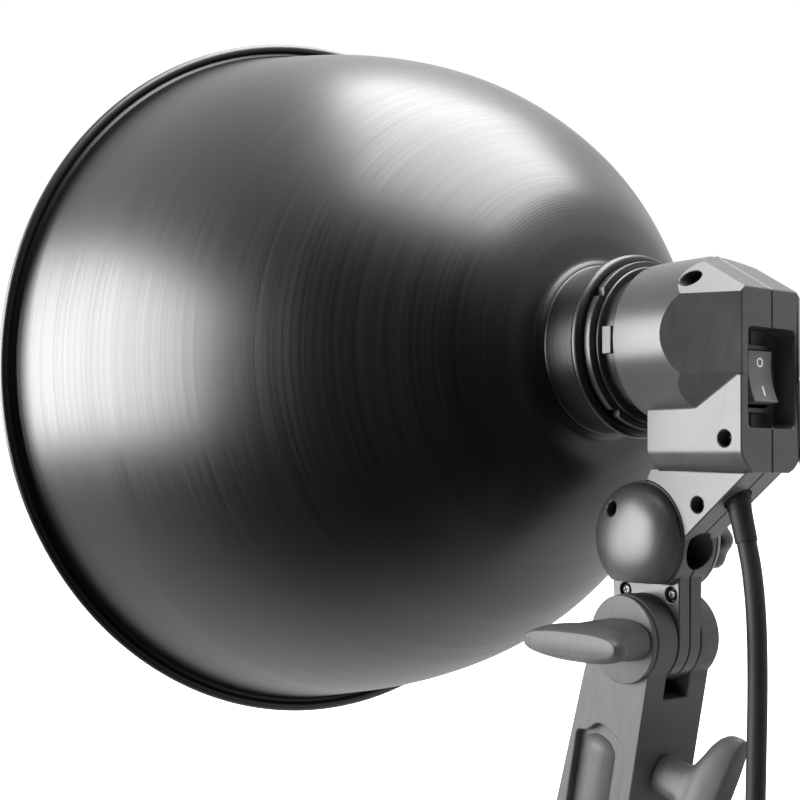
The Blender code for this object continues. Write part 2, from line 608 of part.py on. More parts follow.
def side_pocket(side):
    """The arched recess in one side wall, with the socket's rounded column left standing in it."""
    arch = [(7.0, -66.0), (6.6, -37.0), (4.0, -32.6)] + arc((-4.6, -36.4), 6.0, 55, 125, 4)
    arch += [(-11.0, -34.6), (-15.6, -36.0), (-15.6, -66.0)]
    low, high = sorted((side * POCKET_FLOOR, side * 30))
    pocket = prism("side_pocket", arch, "X", low, high, parent=pivot_frame)
    column = turned("socket_column", [(-32.4, 0), (-32.4, 4.0), (-34.4, 9.6), (-38.0, COLUMN_RADIUS),
                                      (-80.0, COLUMN_RADIUS), (-80.0, 0)],
                    "Z", (side * (FORK_HALF_WIDTH - 0.4 - COLUMN_RADIUS), COLUMN_Y, 0), 40, closed=False,
                    parent=pivot_frame)
    return cut(pocket, column)


def bracket():
    body = prism("fork_bracket", bracket_outline(), "X", -FORK_HALF_WIDTH, FORK_HALF_WIDTH, parts,
                 pivot_frame, BRACKET_PLASTIC)
    slot = prism("fork_slot", [(-SLOT_HALF_WIDTH, SLOT_FLOOR), (SLOT_HALF_WIDTH, SLOT_FLOOR),
                               (SLOT_HALF_WIDTH, 30), (-SLOT_HALF_WIDTH, 30)], "Y", -40, 40,
                 parent=pivot_frame)
    bore = rod("bolt_bore", BOLT_HOLE, "X", -30, 30, parent=pivot_frame)
    seats = rod("disc_seat", 12.4, "X", -6.7, 6.7, parent=pivot_frame)
    room = rod("socket_room", SOCKET_RADIUS + GAP, "Z", -80, SOCKET_TOP + 1.4 + GAP, (0, -PIVOT.y, 0), 28,
               parent=pivot_frame)
    lock_z = LOCK_HEIGHT - PIVOT.z
    lock = rod("lock_bore", BOLT_HOLE, "Y", -40, 0, (0, 0, lock_z), parent=pivot_frame)
    pocket = prism("lock_nut_pocket", hexagon(5.9, (0, lock_z)), "Y", 0, 8.9, parent=pivot_frame)
    cut(body, slot, bore, seats, room, lock, pocket, side_pocket(1), side_pocket(-1))

    tube_profile = [(SOCKET_TOP + 1.4, 0), (SOCKET_TOP + 1.4, SOCKET_RADIUS), (-PIVOT.z, SOCKET_RADIUS),
                    (-PIVOT.z, SOCKET_BORE), (SOCKET_TOP, SOCKET_BORE), (SOCKET_TOP, 0)]
    socket = turned("stand_socket", tube_profile, "Z", (0, -PIVOT.y, 0), 28, closed=False,
                    collection=parts, parent=pivot_frame, finish=STEEL)
    cut(socket, rod("lock_passage", BOLT_HOLE, "Y", -30, 5.3, (0, 0, lock_z), parent=pivot_frame))
    nut = prism("stand_lock_nut", hexagon(5.5, (0, lock_z)), "Y", 4.9, 8.6, parts, pivot_frame, STEEL)
    cut(nut, rod("nut_thread", BOLT_HOLE, "Y", -30, 0, (0, 0, lock_z), 16, parent=pivot_frame))


def tilt_clamp():
    """The pivot bolt, its discs and washer. The lever's nut turns on the bolt."""
    bolt = rod("pivot_bolt", BOLT_RADIUS, "X", -14.6, 29.0, collection=parts, parent=pivot_frame,
               finish=STEEL)
    join(bolt, prism("bolt_head", hexagon(5.6), "X", -18.2, -14.3, parent=pivot_frame))
    for name, side in (("friction_disc_right", 1), ("friction_disc_left", -1)):
        low, high = sorted((side * 5.35, side * 6.4))
        ring(name, 12.0, BOLT_HOLE, "X", low, high, steps=20, collection=parts, parent=pivot_frame,
             finish=FIBRE)
    ring("clamp_washer", 14.0, BOLT_HOLE, "X", 14.3, 16.0, collection=parts, parent=pivot_frame,
         finish=BRACKET_PLASTIC)


def tee_lever(name, axis, parent, start, hub_radius, bar_low, bar_high, hole_depth):
    """A lever knob: a round hub along an axis with a bar across its outer end."""
    side = -1 if axis == "Y" else 1
    low, high = sorted((side * start, side * (bar_high - 1)))
    profile = [(side * (bar_high - 1), 0), (side * (bar_high - 1), hub_radius * 0.8),
               (side * start, hub_radius), (side * start, 0)]
    hub = turned(name, profile, axis, steps=24, closed=False, collection=parts, parent=parent,
                 finish=BRACKET_PLASTIC)
    bar = prism(name + "_bar", rounded_box(21.0, 5.6, 5.5, count=4), axis, bar_low, bar_high, parent=parent)
    bevel(bar, 2.2)
    bar.data.transform(Matrix.Rotation(math.pi / 2 if axis == "Y" else LEVER_REST, 4, axis))
    pocket = rod(name + "_pocket", 4.5, axis, min(side * (start - 2), side * (start + 7.5)),
                 max(side * (start - 2), side * (start + 7.5)), parent=parent, steps=20)
    hole = rod(name + "_hole", BOLT_HOLE, axis, min(side * (start - 2), side * hole_depth),
               max(side * (start - 2), side * hole_depth), parent=parent, steps=20)
    join(hub, bar)
    cut(hub, pocket, hole)
    return hub


def levers():
    tee_lever("tilt_lever", "X", lever_axis, 16.4, 7.0, 29.0, 39.5, 31.0)
    ring("tilt_lever_insert", 4.2, BOLT_RADIUS + 0.3, "X", 16.6, 23.4, collection=parts,
         parent=lever_axis, finish=BRASS, steps=20)
    rear = PIVOT.y + BRACKET_REAR
    tee_lever("stand_lock_lever", "Y", lock_axis, rear + 0.6, 6.2, rear + 14.5, rear + 24.5, rear + 12.0)
    screw = rod("stand_lock_screw", BOLT_RADIUS, "Y", -(rear + 11.5), -8.4, collection=parts,
                parent=lock_axis, finish=STEEL)
    join(screw, ring("screw_collar", 4.2, 2.0, "Y", -(rear + 7.6), -(rear + 0.8), steps=20, parent=lock_axis))


# ---------------------------------------------------------------- cord
def strain_relief():
    profile = [(11.0, 0), (11.0, 3.3), (0.0, 4.1), (-8.2, 4.1), (-8.2, 3.4), (-11.2, 3.2), (-11.2, 0)]
    along_cord(turned("strain_relief", profile, "Y", steps=24, closed=False, collection=parts,
                      parent=lamp_axis, finish=CORD_RUBBER))


def cord():
    tube("cord", smooth_path(CORD_ROUTE, 2), CORD_RADIUS, None, CORD_RUBBER, resolution=3)
    section = rounded_box(COIL_HALF_WIDTH, COIL_HALF_DEPTH, 3.0, (0, COIL_MEAN_RADIUS), count=1)
    turned("cord_coil", section, "Y", COIL_CENTRE, 32, collection=parts, finish=CORD_RUBBER)
    x, y, z = COIL_CENTRE + Vector((COIL_MEAN_RADIUS, 0, 0))
    tie = [rounded_box(COIL_HALF_DEPTH + 0.4 + wall, COIL_HALF_WIDTH + 0.4 + wall, 2.0, (x, y), 2)
           for wall in (1.3, 0.0)]
    prism("cord_tie", tie, "Z", z - TIE_WIDTH / 2, z + TIE_WIDTH / 2, parts, finish=CORD_RUBBER)
    rear = COIL_CENTRE.y + COIL_LAYER
    tail_top, tail_end = z - COIL_REACH, z - COIL_REACH - TAIL_LENGTH
    tube("cord_tail", [(0, rear, tail_top - i * TAIL_LENGTH / 2) for i in range(3)], CORD_RADIUS, None,
         CORD_RUBBER, resolution=3)
    plug(0, rear, tail_end - GAP)


def plug(x, y, top):
    """A flat two-pin plug hanging from the end of the cord."""
    neck = 14.0
    body = [(x - 7.0, top - neck + 3), (x - PLUG_HALF_WIDTH, top - neck - 12),
            (x - PLUG_HALF_WIDTH, top - neck - PLUG_LENGTH), (x + PLUG_HALF_WIDTH, top - neck - PLUG_LENGTH),
            (x + PLUG_HALF_WIDTH, top - neck - 12), (x + 7.0, top - neck + 3)]
    shell = prism("plug_body", body, "Y", y - PLUG_HALF_THICKNESS, y + PLUG_HALF_THICKNESS, parts,
                  finish=BLACK_PLASTIC)
    bevel(shell, 1.5)
    sleeve = turned("plug_sleeve", [(0, 0), (0, 3.4), (-neck, 5.2), (-neck - 3, 5.2), (-neck - 3, 0)],
                    "Z", (x, y, top), 16, closed=False)
    join(shell, sleeve)
    face = top - neck - PLUG_LENGTH - GAP
    for name, side in (("plug_pin_left", -1), ("plug_pin_right", 1)):
        pin = [(face, 0), (face, 2.0), (face - 17.6, 2.0), (face - 19.0, 1.0), (face - 19.0, 0)]
        turned(name, pin, "Z", (x + side * PIN_SPACING / 2, y, 0), 12, closed=False, collection=parts,
               finish=BRASS)


for build in (reflector, ring_stack, lamp_socket, bulb, housing_halves, fasteners, switch, wiring,
              umbrella_lock, bracket, tilt_clamp, levers, strain_relief, cord):
    build()
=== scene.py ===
"""The finished look of a studio lamp head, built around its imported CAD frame.

Lengths are in millimetres and turned into metres as each mesh is made. Pieces of the lamp head are
drawn in the lamp's own frame (origin on the lamp axis at the barrel's front edge, +Y to the rear) and
pieces of the bracket in a frame at the tilt pivot. A matrix carries both to their place.
"""
import json
import math
from math import cos, radians, sin

import bpy
import bmesh
from mathutils import Matrix, Vector

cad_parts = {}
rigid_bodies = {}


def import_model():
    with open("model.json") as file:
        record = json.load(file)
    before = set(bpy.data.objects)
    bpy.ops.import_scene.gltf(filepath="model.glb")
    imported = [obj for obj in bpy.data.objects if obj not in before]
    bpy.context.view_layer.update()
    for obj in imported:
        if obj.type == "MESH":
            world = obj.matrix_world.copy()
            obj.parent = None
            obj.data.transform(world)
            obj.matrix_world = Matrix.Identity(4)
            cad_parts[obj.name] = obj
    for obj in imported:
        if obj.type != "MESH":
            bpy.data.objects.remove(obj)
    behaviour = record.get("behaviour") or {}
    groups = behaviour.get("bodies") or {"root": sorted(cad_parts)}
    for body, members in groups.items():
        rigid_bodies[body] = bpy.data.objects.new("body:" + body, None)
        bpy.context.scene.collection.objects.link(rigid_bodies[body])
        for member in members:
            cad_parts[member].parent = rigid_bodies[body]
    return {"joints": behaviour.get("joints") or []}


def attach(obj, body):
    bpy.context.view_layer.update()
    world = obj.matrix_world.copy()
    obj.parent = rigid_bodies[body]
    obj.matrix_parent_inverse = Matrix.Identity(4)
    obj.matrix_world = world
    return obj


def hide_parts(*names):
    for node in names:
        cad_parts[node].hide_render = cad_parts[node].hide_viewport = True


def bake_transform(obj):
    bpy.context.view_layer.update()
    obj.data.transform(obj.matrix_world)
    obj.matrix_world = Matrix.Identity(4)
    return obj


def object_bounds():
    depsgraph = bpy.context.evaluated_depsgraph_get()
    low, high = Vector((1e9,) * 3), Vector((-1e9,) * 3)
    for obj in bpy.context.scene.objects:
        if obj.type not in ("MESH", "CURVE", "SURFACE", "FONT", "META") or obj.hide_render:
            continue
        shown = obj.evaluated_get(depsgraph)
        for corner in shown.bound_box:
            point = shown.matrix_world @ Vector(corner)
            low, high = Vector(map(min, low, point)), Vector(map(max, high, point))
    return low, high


MM = 0.001

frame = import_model()
cad_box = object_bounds()
joints = {joint["name"]: joint for joint in frame["joints"]}
scene = bpy.context.scene


def at(place_mm):
    return Matrix.Translation(Vector(place_mm) * MM)


def spin(degrees, axis):
    return Matrix.Rotation(radians(degrees), 4, axis)


# ---- frames, from the CAD's own joints
PIVOT = Vector(joints["head_tilt"]["pos_m"]) / MM
LAMP_REAR = -Vector(joints["reflector_lock"]["axis"])
HEAD_TILT = math.degrees(math.atan2(LAMP_REAR.z, LAMP_REAR.y))
PIVOT_IN_HEAD = Vector((0.0, -5.5, -95.0))
SWITCH_Z = -13.0
ROCKER_Y = 34.0
KNOB_CENTRE = (-5.3, -64.0)
ROW = Matrix.Identity(4)
BRACKET = at(PIVOT)
LAMP = BRACKET @ spin(HEAD_TILT, "X") @ at(-PIVOT_IN_HEAD)
ROCKER = LAMP @ at((0, ROCKER_Y, SWITCH_Z)) @ spin(9, "X")
KNOB = LAMP @ at((0, *KNOB_CENTRE))
LOCK = at((0, 0, 33)) @ spin(-20, "Y")
LEVER_REST = 13.5

# ---- camera
CAMERA_PLACE = (312.9, 283.6, 186.8)
CAMERA_AZIMUTH = -144.42
CAMERA_ELEVATION = -6.39
CAMERA_ROLL = 7.26
CAMERA_LENS = 57.83


def direction(azimuth, elevation):
    """A unit vector: azimuth 0 is +Y and 90 is +X."""
    a, e = radians(azimuth), radians(elevation)
    return Vector((sin(a) * cos(e), cos(a) * cos(e), sin(e)))


def facing(way, axis="-Z"):
    """A turn that points an axis along a way."""
    return way.to_track_quat(axis, "Y").to_matrix().to_4x4()


def camera():
    data = bpy.data.cameras.new("camera")
    data.lens = CAMERA_LENS
    data.clip_start = 0.01
    turn = facing(direction(CAMERA_AZIMUTH, CAMERA_ELEVATION)) @ spin(CAMERA_ROLL, "Z")
    scene.camera = tool("camera", data, at(CAMERA_PLACE) @ turn, scene.collection)


# ---- shape helpers
WELD = 0.005 * MM
TURNED_WELD = 0.002 * MM
SLIGHT_CREASE = 16
tools = bpy.data.collections.new("tools")
scene.collection.children.link(tools)
AXIS_TURN = {
    "X": Matrix(((0, 0, 1, 0), (1, 0, 0, 0), (0, 1, 0, 0), (0, 0, 0, 1))),
    "Y": Matrix(((1, 0, 0, 0), (0, 0, -1, 0), (0, 1, 0, 0), (0, 0, 0, 1))),
    "Z": Matrix.Identity(4),
}


def tool(name, data, place, collection=tools):
    """An object, which goes with the tools that are cleared away at the end if nothing else is said."""
    obj = bpy.data.objects.new(name, data)
    collection.objects.link(obj)
    obj.matrix_world = place
    return obj


def arc(centre, radius, start, end, count):
    """Points on an arc, in degrees."""
    steps = [radians(start + (end - start) * i / count) for i in range(count + 1)]
    return [(centre[0] + radius * cos(a), centre[1] + radius * sin(a)) for a in steps]


def rounded_box(half_a, half_b, radius, centre=(0.0, 0.0), count=6):
    a, b = half_a - radius, half_b - radius
    corners = ((a, b, 0), (-a, b, 90), (-a, -b, 180), (a, -b, 270))
    points = []
    for x, y, start in corners:
        points += arc((centre[0] + x, centre[1] + y), radius, start, start + 90, count)
    return points


def oblong(left, low, right, high):
    return [(left, low), (right, low), (right, high), (left, high)]


def hexagon(centre, radius):
    return arc(centre, radius, 0, 300, 5)


def soften(points, reach, closed=True, steps=4):
    """Round each corner of an outline, from at most a reach before it to a reach past it."""
    result = []
    for i, corner in enumerate(Vector(p) for p in points):
        if not closed and i in (0, len(points) - 1):
            result.append(corner)
            continue
        before = Vector(points[i - 1]) - corner
        after = Vector(points[(i + 1) % len(points)]) - corner
        if before.angle(-after, 0.0) < radians(14):
            result.append(corner)
            continue
        start = corner + before.normalized() * min(reach, before.length * 0.45)
        end = corner + after.normalized() * min(reach, after.length * 0.45)
        for k in range(steps + 1):
            t = k / steps
            result.append(start * (1 - t) ** 2 + corner * 2 * t * (1 - t) + end * t * t)
    return [tuple(p) for p in result]


def smooth_path(points, per_span):
    """Points on a Catmull-Rom curve through the given ones."""
    points = [Vector(p) for p in points]
    points = [points[0] * 2 - points[1]] + points + [points[-1] * 2 - points[-2]]
    path = []
    for a, b, c, d in zip(points, points[1:], points[2:], points[3:]):
        for i in range(per_span):
            t = i / per_span
            path.append(0.5 * (2 * b + (c - a) * t + (2 * a - 5 * b + 4 * c - d) * t * t
                               + (3 * b - a - 3 * c + d) * t ** 3))
    path.append(points[-2])
    return path


def to_mesh(name, work, sharp=35):
    bmesh.ops.recalc_face_normals(work, faces=work.faces)
    mesh = bpy.data.meshes.new(name)
    work.to_mesh(mesh)
    work.free()
    mesh.shade_smooth()
    mesh.set_sharp_from_angle(angle=radians(sharp))
    return mesh


def skin(work, rings, closed=True):
    """Faces between each ring of vertices and the next."""
    for here, there in zip(rings, rings[1:]):
        count = len(here)
        for i in range(count if closed else count - 1):
            j = (i + 1) % count
            work.faces.new((here[i], here[j], there[j], there[i]))


def turned(name, profile, axis="Y", centre=(0, 0, 0), steps=96, place=LAMP):
    """A profile of (height, radius) points turned about an axis. Along Y the heights run forward.

    The profile is closed unless it starts and ends on the axis. Each point keeps its distance along
    the profile, in millimetres, in the attribute "along".
    """
    turn = at(centre) @ AXIS_TURN[axis]
    work = bmesh.new()
    along = work.verts.layers.float.new("along")
    rings = []
    for k in range(steps):
        a, travelled, ring_verts = 2 * math.pi * k / steps, 0.0, []
        for i, (h, r) in enumerate(profile):
            if i:
                travelled += math.dist(profile[i - 1], profile[i])
            vert = work.verts.new(turn @ (Vector((r * cos(a), r * sin(a), h)) * MM))
            vert[along] = travelled
            ring_verts.append(vert)
        rings.append(ring_verts)
    skin(work, rings + rings[:1], closed=profile[0][1] > 0 or profile[-1][1] > 0)
    bmesh.ops.remove_doubles(work, verts=work.verts, dist=TURNED_WELD)
    return tool(name, to_mesh(name, work), place)


def rod(name, radius, axis, low, high, centre=(0, 0, 0), steps=48, place=LAMP):
    profile = [(high, 0), (high, radius), (low, radius), (low, 0)]
    return turned(name, profile, axis, centre, steps, place)


def ring(name, outer, inner, axis, low, high, steps=96, place=LAMP, round_by=0.3):
    profile = [(high, inner), (high, outer), (low, outer), (low, inner)]
    return turned(name, soften(profile, round_by), axis, (0, 0, 0), steps, place)


def loft(name, sections, place):
    """A closed form through rings of equally many points, capped at both ends."""
    work = bmesh.new()
    rings = [[work.verts.new(Vector(p) * MM) for p in section] for section in sections]
    skin(work, rings)
    work.faces.new(rings[0])
    work.faces.new(rings[-1])
    return tool(name, to_mesh(name, work, 50), place)


def as_modified(obj):
    """An object's mesh as its modifiers leave it."""
    bpy.context.view_layer.update()
    return bpy.data.meshes.new_from_object(obj.evaluated_get(bpy.context.evaluated_depsgraph_get()))


def cleaned(obj):
    """An object's mesh after its modifiers, welded, with each flat patch a single face."""
    work = bmesh.new()
    work.from_mesh(as_modified(obj))
    bmesh.ops.remove_doubles(work, verts=work.verts, dist=WELD)
    bmesh.ops.dissolve_degenerate(work, edges=work.edges, dist=WELD)
    bmesh.ops.dissolve_limit(work, angle_limit=radians(0.1), verts=work.verts, edges=work.edges)
    return to_mesh(obj.name, work)


def drawn(name, curve, lines, closed):
    """The mesh of a curve through lines of points."""
    for line in lines:
        spline = curve.splines.new("POLY")
        spline.points.add(len(line) - 1)
        for point, (x, y, z) in zip(spline.points, line):
            point.co = (x * MM, y * MM, z * MM, 1)
        spline.use_cyclic_u = closed
    source = tool(name, curve, ROW)
    mesh = cleaned(source)
    bpy.data.objects.remove(source, do_unlink=True)
    return mesh


def prism(name, outlines, axis, low, high, place=LAMP):
    """A flat outline, with any holes, given thickness from low to high along an axis."""
    curve = bpy.data.curves.new(name, "CURVE")
    curve.dimensions = "2D"
    curve.fill_mode = "BOTH"
    curve.extrude = (high - low) * MM / 2
    if isinstance(outlines[0][0], (int, float)):
        outlines = [outlines]
    mesh = drawn(name, curve, [[(a, b, 0) for a, b in outline] for outline in outlines], True)
    middle = (low + high) * MM / 2
    if axis == "Y":
        middle = -middle
    mesh.transform(AXIS_TURN[axis] @ Matrix.Translation((0, 0, middle)))
    return tool(name, mesh, place)


def tube(name, path, radius, place=LAMP):
    """A round tube through the points of a path. Its mesh is in the path's own frame."""
    curve = bpy.data.curves.new(name, "CURVE")
    curve.dimensions = "3D"
    curve.bevel_depth = radius * MM
    curve.bevel_resolution = 6
    curve.use_fill_caps = True
    mesh = drawn(name, curve, [path], False)
    mesh.shade_smooth()
    return tool(name, mesh, place)


def boolean(target, operation, others):
    for other in others:
        step = target.modifiers.new(operation.lower(), "BOOLEAN")
        step.operation = operation
        step.object = other
        step.solver = "EXACT"
    return target


def cut(target, *others):
    return boolean(target, "DIFFERENCE", others)


def join(target, *others):
    return boolean(target, "UNION", others)


def weigh_edges(mesh, angle, share, wide):
    """Mark each crease for rounding, in full where the test says so and by a share elsewhere.

    A crease too slight to be rounded stays crisp.
    """
    work = bmesh.new()
    work.from_mesh(mesh)
    weight = work.edges.layers.float.new("bevel_weight_edge")
    for edge in work.edges:
        crease = math.degrees(edge.calc_face_angle(0.0))
        if crease > angle:
            middle = (edge.verts[0].co + edge.verts[1].co) / (2 * MM)
            edge[weight] = 1.0 if wide(middle) else share
        elif crease > SLIGHT_CREASE:
            edge.smooth = False
    work.to_mesh(mesh)
    work.free()


def settle(obj, round_by=0.0, segments=3, angle=28, wide_by=0.0, wide=None, clamp=True):
    """Apply an object's modifiers, then round its edges and even out its shading."""
    obj.data = cleaned(obj)
    obj.modifiers.clear()
    if round_by:
        obj.data.shade_smooth()
        step = obj.modifiers.new("edges", "BEVEL")
        step.width = round_by * MM
        step.segments = segments
        step.limit_method = "ANGLE"
        step.angle_limit = radians(angle)
        step.use_clamp_overlap = clamp
        if wide:
            weigh_edges(obj.data, angle, round_by / wide_by, wide)
            step.width = wide_by * MM
            step.limit_method = "WEIGHT"
        obj.modifiers.new("shading", "WEIGHTED_NORMAL").keep_sharp = True
        mesh = as_modified(obj)
        obj.modifiers.clear()
        obj.data = mesh
    return obj


# ---- finishes
def feed(tree, socket, value):
    """Give an input a value or another node's output."""
    if isinstance(value, bpy.types.NodeSocket):
        tree.links.new(value, socket)
    else:
        socket.default_value = value


def node(tree, kind, inputs=(), **settings):
    """A shader node. Its inputs are values or other nodes' outputs."""
    made = tree.nodes.new("ShaderNode" + kind)
    for name, value in settings.items():
        setattr(made, name, value)
    for name, value in dict(inputs).items():
        feed(tree, made.inputs[name], value)
    return made


def blank(name, metallic=0.0, **settings):
    """A material with its shader, its node tree and its object coordinates."""
    material = bpy.data.materials.new(name)
    material.use_nodes = True
    tree = material.node_tree
    shader = tree.nodes["Principled BSDF"]
    shader.inputs["Metallic"].default_value = metallic
    for socket, value in settings.items():
        shader.inputs[socket.replace("_", " ")].default_value = value
    coordinates = node(tree, "TexCoord").outputs["Object"]
    return material, tree, shader, coordinates


def noise(tree, where, scale, detail=4.0, roughness=0.55):
    made = node(tree, "TexNoise", {"Vector": where, "Scale": scale, "Detail": detail,
                                   "Roughness": roughness})
    return made.outputs["Fac"]


def spread(tree, fac, low, high, start=0.3, end=0.7):
    """A value drawn from a noise, from low to high."""
    made = node(tree, "MapRange", {"Value": fac, "From Min": start, "From Max": end,
                                   "To Min": low, "To Max": high})
    return made.outputs["Result"]


def mixed(tree, fac, first, second, data_type="RGBA", socket_type="RGBA"):
    """A mix of two colours or two plain values, of which either may be another node's output."""
    made = node(tree, "Mix", {"Factor": fac}, data_type=data_type)
    ends = [s for s in made.inputs if s.type == socket_type and s.name != "Factor"]
    feed(tree, ends[0], first)
    feed(tree, ends[1], second)
    return next(s for s in made.outputs if s.type == socket_type)


def product(tree, first, second):
    return node(tree, "Math", {0: first, 1: second}, operation="MULTIPLY").outputs[0]


def stretched(tree, where, scale):
    return node(tree, "Mapping", {"Vector": where, "Scale": scale}).outputs["Vector"]


def bump(tree, height, distance, strength=1.0, below=None):
    inputs = {"Height": height, "Distance": distance, "Strength": strength}
    if below:
        inputs["Normal"] = below
    return node(tree, "Bump", inputs).outputs["Normal"]


def dress(tree, shader, colour, rough, normal):
    for name, value in (("Base Color", colour), ("Roughness", rough), ("Normal", normal)):
        feed(tree, shader.inputs[name], value)


def moulded(name, dark, light, rough, grain=1400.0, depth=0.00001, **settings):
    """Moulded plastic, rubber or glaze: a slow drift of tone and gloss and a fine grain."""
    material, tree, shader, where = blank(name, **settings)
    drift = noise(tree, where, 28.0, 5.0)
    texture = noise(tree, where, grain, 3.0)
    scuffs = noise(tree, stretched(tree, where, (90.0, 600.0, 90.0)), 1.0, 6.0, 0.7)
    patches = spread(tree, product(tree, drift, scuffs), 0, 1, 0.15, 0.4)
    waves = bump(tree, drift, 0.00006, 0.25)
    dress(tree, shader, mixed(tree, patches, dark, light), spread(tree, drift, rough - 0.04, rough + 0.05),
          bump(tree, texture, depth, 0.6, waves))
    return material


def polished(name, dark, light, rough):
    """Bare metal with fine tool marks and a slight tarnish."""
    material, tree, shader, where = blank(name, metallic=1.0)
    marks = noise(tree, stretched(tree, where, (40.0, 900.0, 900.0)), 1.0)
    tarnish = noise(tree, where, 160.0, 6.0)
    dress(tree, shader, mixed(tree, spread(tree, tarnish, 0, 1), dark, light),
          spread(tree, marks, rough - 0.07, rough + 0.1), bump(tree, marks, 0.00001, 0.5))
    return material


GROOVE = 0.000006


def spun(name, dark, light, rough, metallic, specks=None):
    """Spun sheet: fine turning marks run round it, and its tone drifts a little."""
    material, tree, shader, where = blank(name, metallic=metallic)
    along = node(tree, "Attribute", attribute_name="along").outputs["Fac"]
    split = node(tree, "SeparateXYZ", {"Vector": where}).outputs
    lines = node(tree, "CombineXYZ", {"X": along, "Y": product(tree, split["X"], 6.0),
                                      "Z": product(tree, split["Z"], 6.0)}).outputs[0]
    marks = noise(tree, lines, 0.8, 6.0, 0.65)
    wave = node(tree, "TexWave", {"Vector": lines, "Scale": 0.27, "Distortion": 0.6, "Detail": 1.0,
                                  "Detail Scale": 0.4}).outputs["Fac"]
    tone = mixed(tree, spread(tree, noise(tree, where, 9.0), 0, 1), dark, light)
    if specks:
        dots = node(tree, "TexVoronoi", {"Vector": where, "Scale": 70.0}).outputs["Distance"]
        near = spread(tree, dots, 1, 0, 0.02, 0.045)
        rare = spread(tree, noise(tree, where, 31.0, 1.0), 0, 1, 0.66, 0.69)
        tone = mixed(tree, product(tree, near, rare), tone, specks)
    dress(tree, shader, tone, spread(tree, marks, rough - 0.05, rough + 0.05),
          bump(tree, marks, GROOVE * 1.6, 1.0, bump(tree, wave, GROOVE)))
    return material


def colour(red, green, blue):
    return (red, green, blue, 1.0)


def grey(value):
    return colour(value, value, value)


FINISH = {}


def finish(maker, name, *look, **settings):
    FINISH[name] = maker(name, *look, **settings)


finish(spun, "black_spun_aluminium", grey(0.0012), grey(0.0025), 0.36, 0.0, grey(0.25))
finish(spun, "bowl_lining", grey(0.55), grey(0.68), 0.34, 1.0)
finish(moulded, "housing_plastic", grey(0.02), grey(0.032), 0.36)
finish(moulded, "bracket_plastic", grey(0.03), grey(0.05), 0.5, 900.0, 0.00002, Specular_IOR_Level=0.36)
finish(moulded, "black_plastic", grey(0.006), grey(0.012), 0.34)
finish(polished, "plated_steel", grey(0.5), grey(0.68), 0.26)
finish(polished, "blackened_steel", grey(0.05), grey(0.1), 0.35)
finish(polished, "brass", colour(0.52, 0.34, 0.12), colour(0.76, 0.56, 0.26), 0.27)
finish(moulded, "porcelain", colour(0.72, 0.71, 0.66), colour(0.86, 0.85, 0.81), 0.2, 300.0, 0.00002,
       Coat_Weight=0.6, Coat_Roughness=0.08)
finish(moulded, "opal_glass", colour(0.84, 0.84, 0.81), colour(0.92, 0.92, 0.9), 0.14, 120.0,
       Coat_Weight=0.8, Coat_Roughness=0.04)
finish(moulded, "friction_fibre", colour(0.14, 0.07, 0.04), colour(0.3, 0.17, 0.1), 0.8, 700.0, 0.00006)
finish(moulded, "cord_rubber", grey(0.004), grey(0.009), 0.55, 1100.0, 0.00003, Specular_IOR_Level=0.25)
# The switch rocker's black plastic made lighter: painted light that lifts the rocker out of the switch
# recess's shade.
finish(moulded, "rocker_painted_light", grey(0.06), grey(0.09), 0.4)
finish(moulded, "wire_insulation", colour(0.2, 0.06, 0.02), colour(0.34, 0.13, 0.06), 0.42)
finish(moulded, "mark_white", grey(0.55), grey(0.75), 0.5)


def piece(obj, body, slot, *nodes, second=None):
    """Give a finished shape its finish, its body (the cord has none) and the CAD nodes it stands for."""
    obj.data.transform(obj.matrix_world)
    obj.matrix_world = ROW
    tools.objects.unlink(obj)
    scene.collection.objects.link(obj)
    obj.data.materials.clear()
    obj.data.materials.append(FINISH[slot])
    if second:
        obj.data.materials.append(FINISH[second])
    if body:
        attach(obj, body)
    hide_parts(*nodes)
    return obj


# ---- mains cord
CORD_RADIUS = 3.0
COIL_CENTRE = Vector((-45.3, 59.6, -22.0))
COIL_OUTER = 45.3
TURN_SPACING = 6.2
COIL_LAYER = 3.1
TURNS_PER_LAYER = 2.85
CROSSING = 0.3
CORD_ROUTE = ((0, 34.3, 115.4), (0, 38.4, 106.4), (0, 42.2, 95.0), (0, 45.4, 82.0), (0, 48.2, 68.0),
              (0, 50.8, 53.0), (0, 53.2, 39.0), (0, 55.2, 26.0), (0, 56.2, 14.0),
              (0, COIL_CENTRE.y - COIL_LAYER, 2.2))
TAIL_END = -61.2


def coil_points(steps_per_turn=40):
    """Wound inward in the front layer, across at the inside and outward again in the rear layer."""
    inner = COIL_OUTER - TURNS_PER_LAYER * TURN_SPACING
    outward = TURNS_PER_LAYER + CROSSING
    points = []
    for k in range(1, round((outward + TURNS_PER_LAYER) * steps_per_turn)):
        turn = k / steps_per_turn
        radius = inner + TURN_SPACING * max(0.0, TURNS_PER_LAYER - turn, turn - outward)
        across = min(1.0, max(0.0, (turn - TURNS_PER_LAYER) / CROSSING))
        side = -COIL_LAYER + 2 * COIL_LAYER * (3 * across ** 2 - 2 * across ** 3)
        a = -2 * math.pi * turn
        points.append(COIL_CENTRE + Vector((radius * cos(a), side, radius * sin(a))))
    return points


def cord_line():
    upper = smooth_path(CORD_ROUTE, 6)
    lead_in = [Vector((0, CORD_ROUTE[-1][1], z)) for z in (-4.0, -10.0, -16.0, COIL_CENTRE.z)]
    rear = COIL_CENTRE.y + COIL_LAYER
    tail = [Vector((0, rear, z)) for z in (COIL_CENTRE.z, -28.0, -34.0, -40.0, -46.0, -52.0, -57.0, TAIL_END)]
    return upper + lead_in + coil_points() + tail


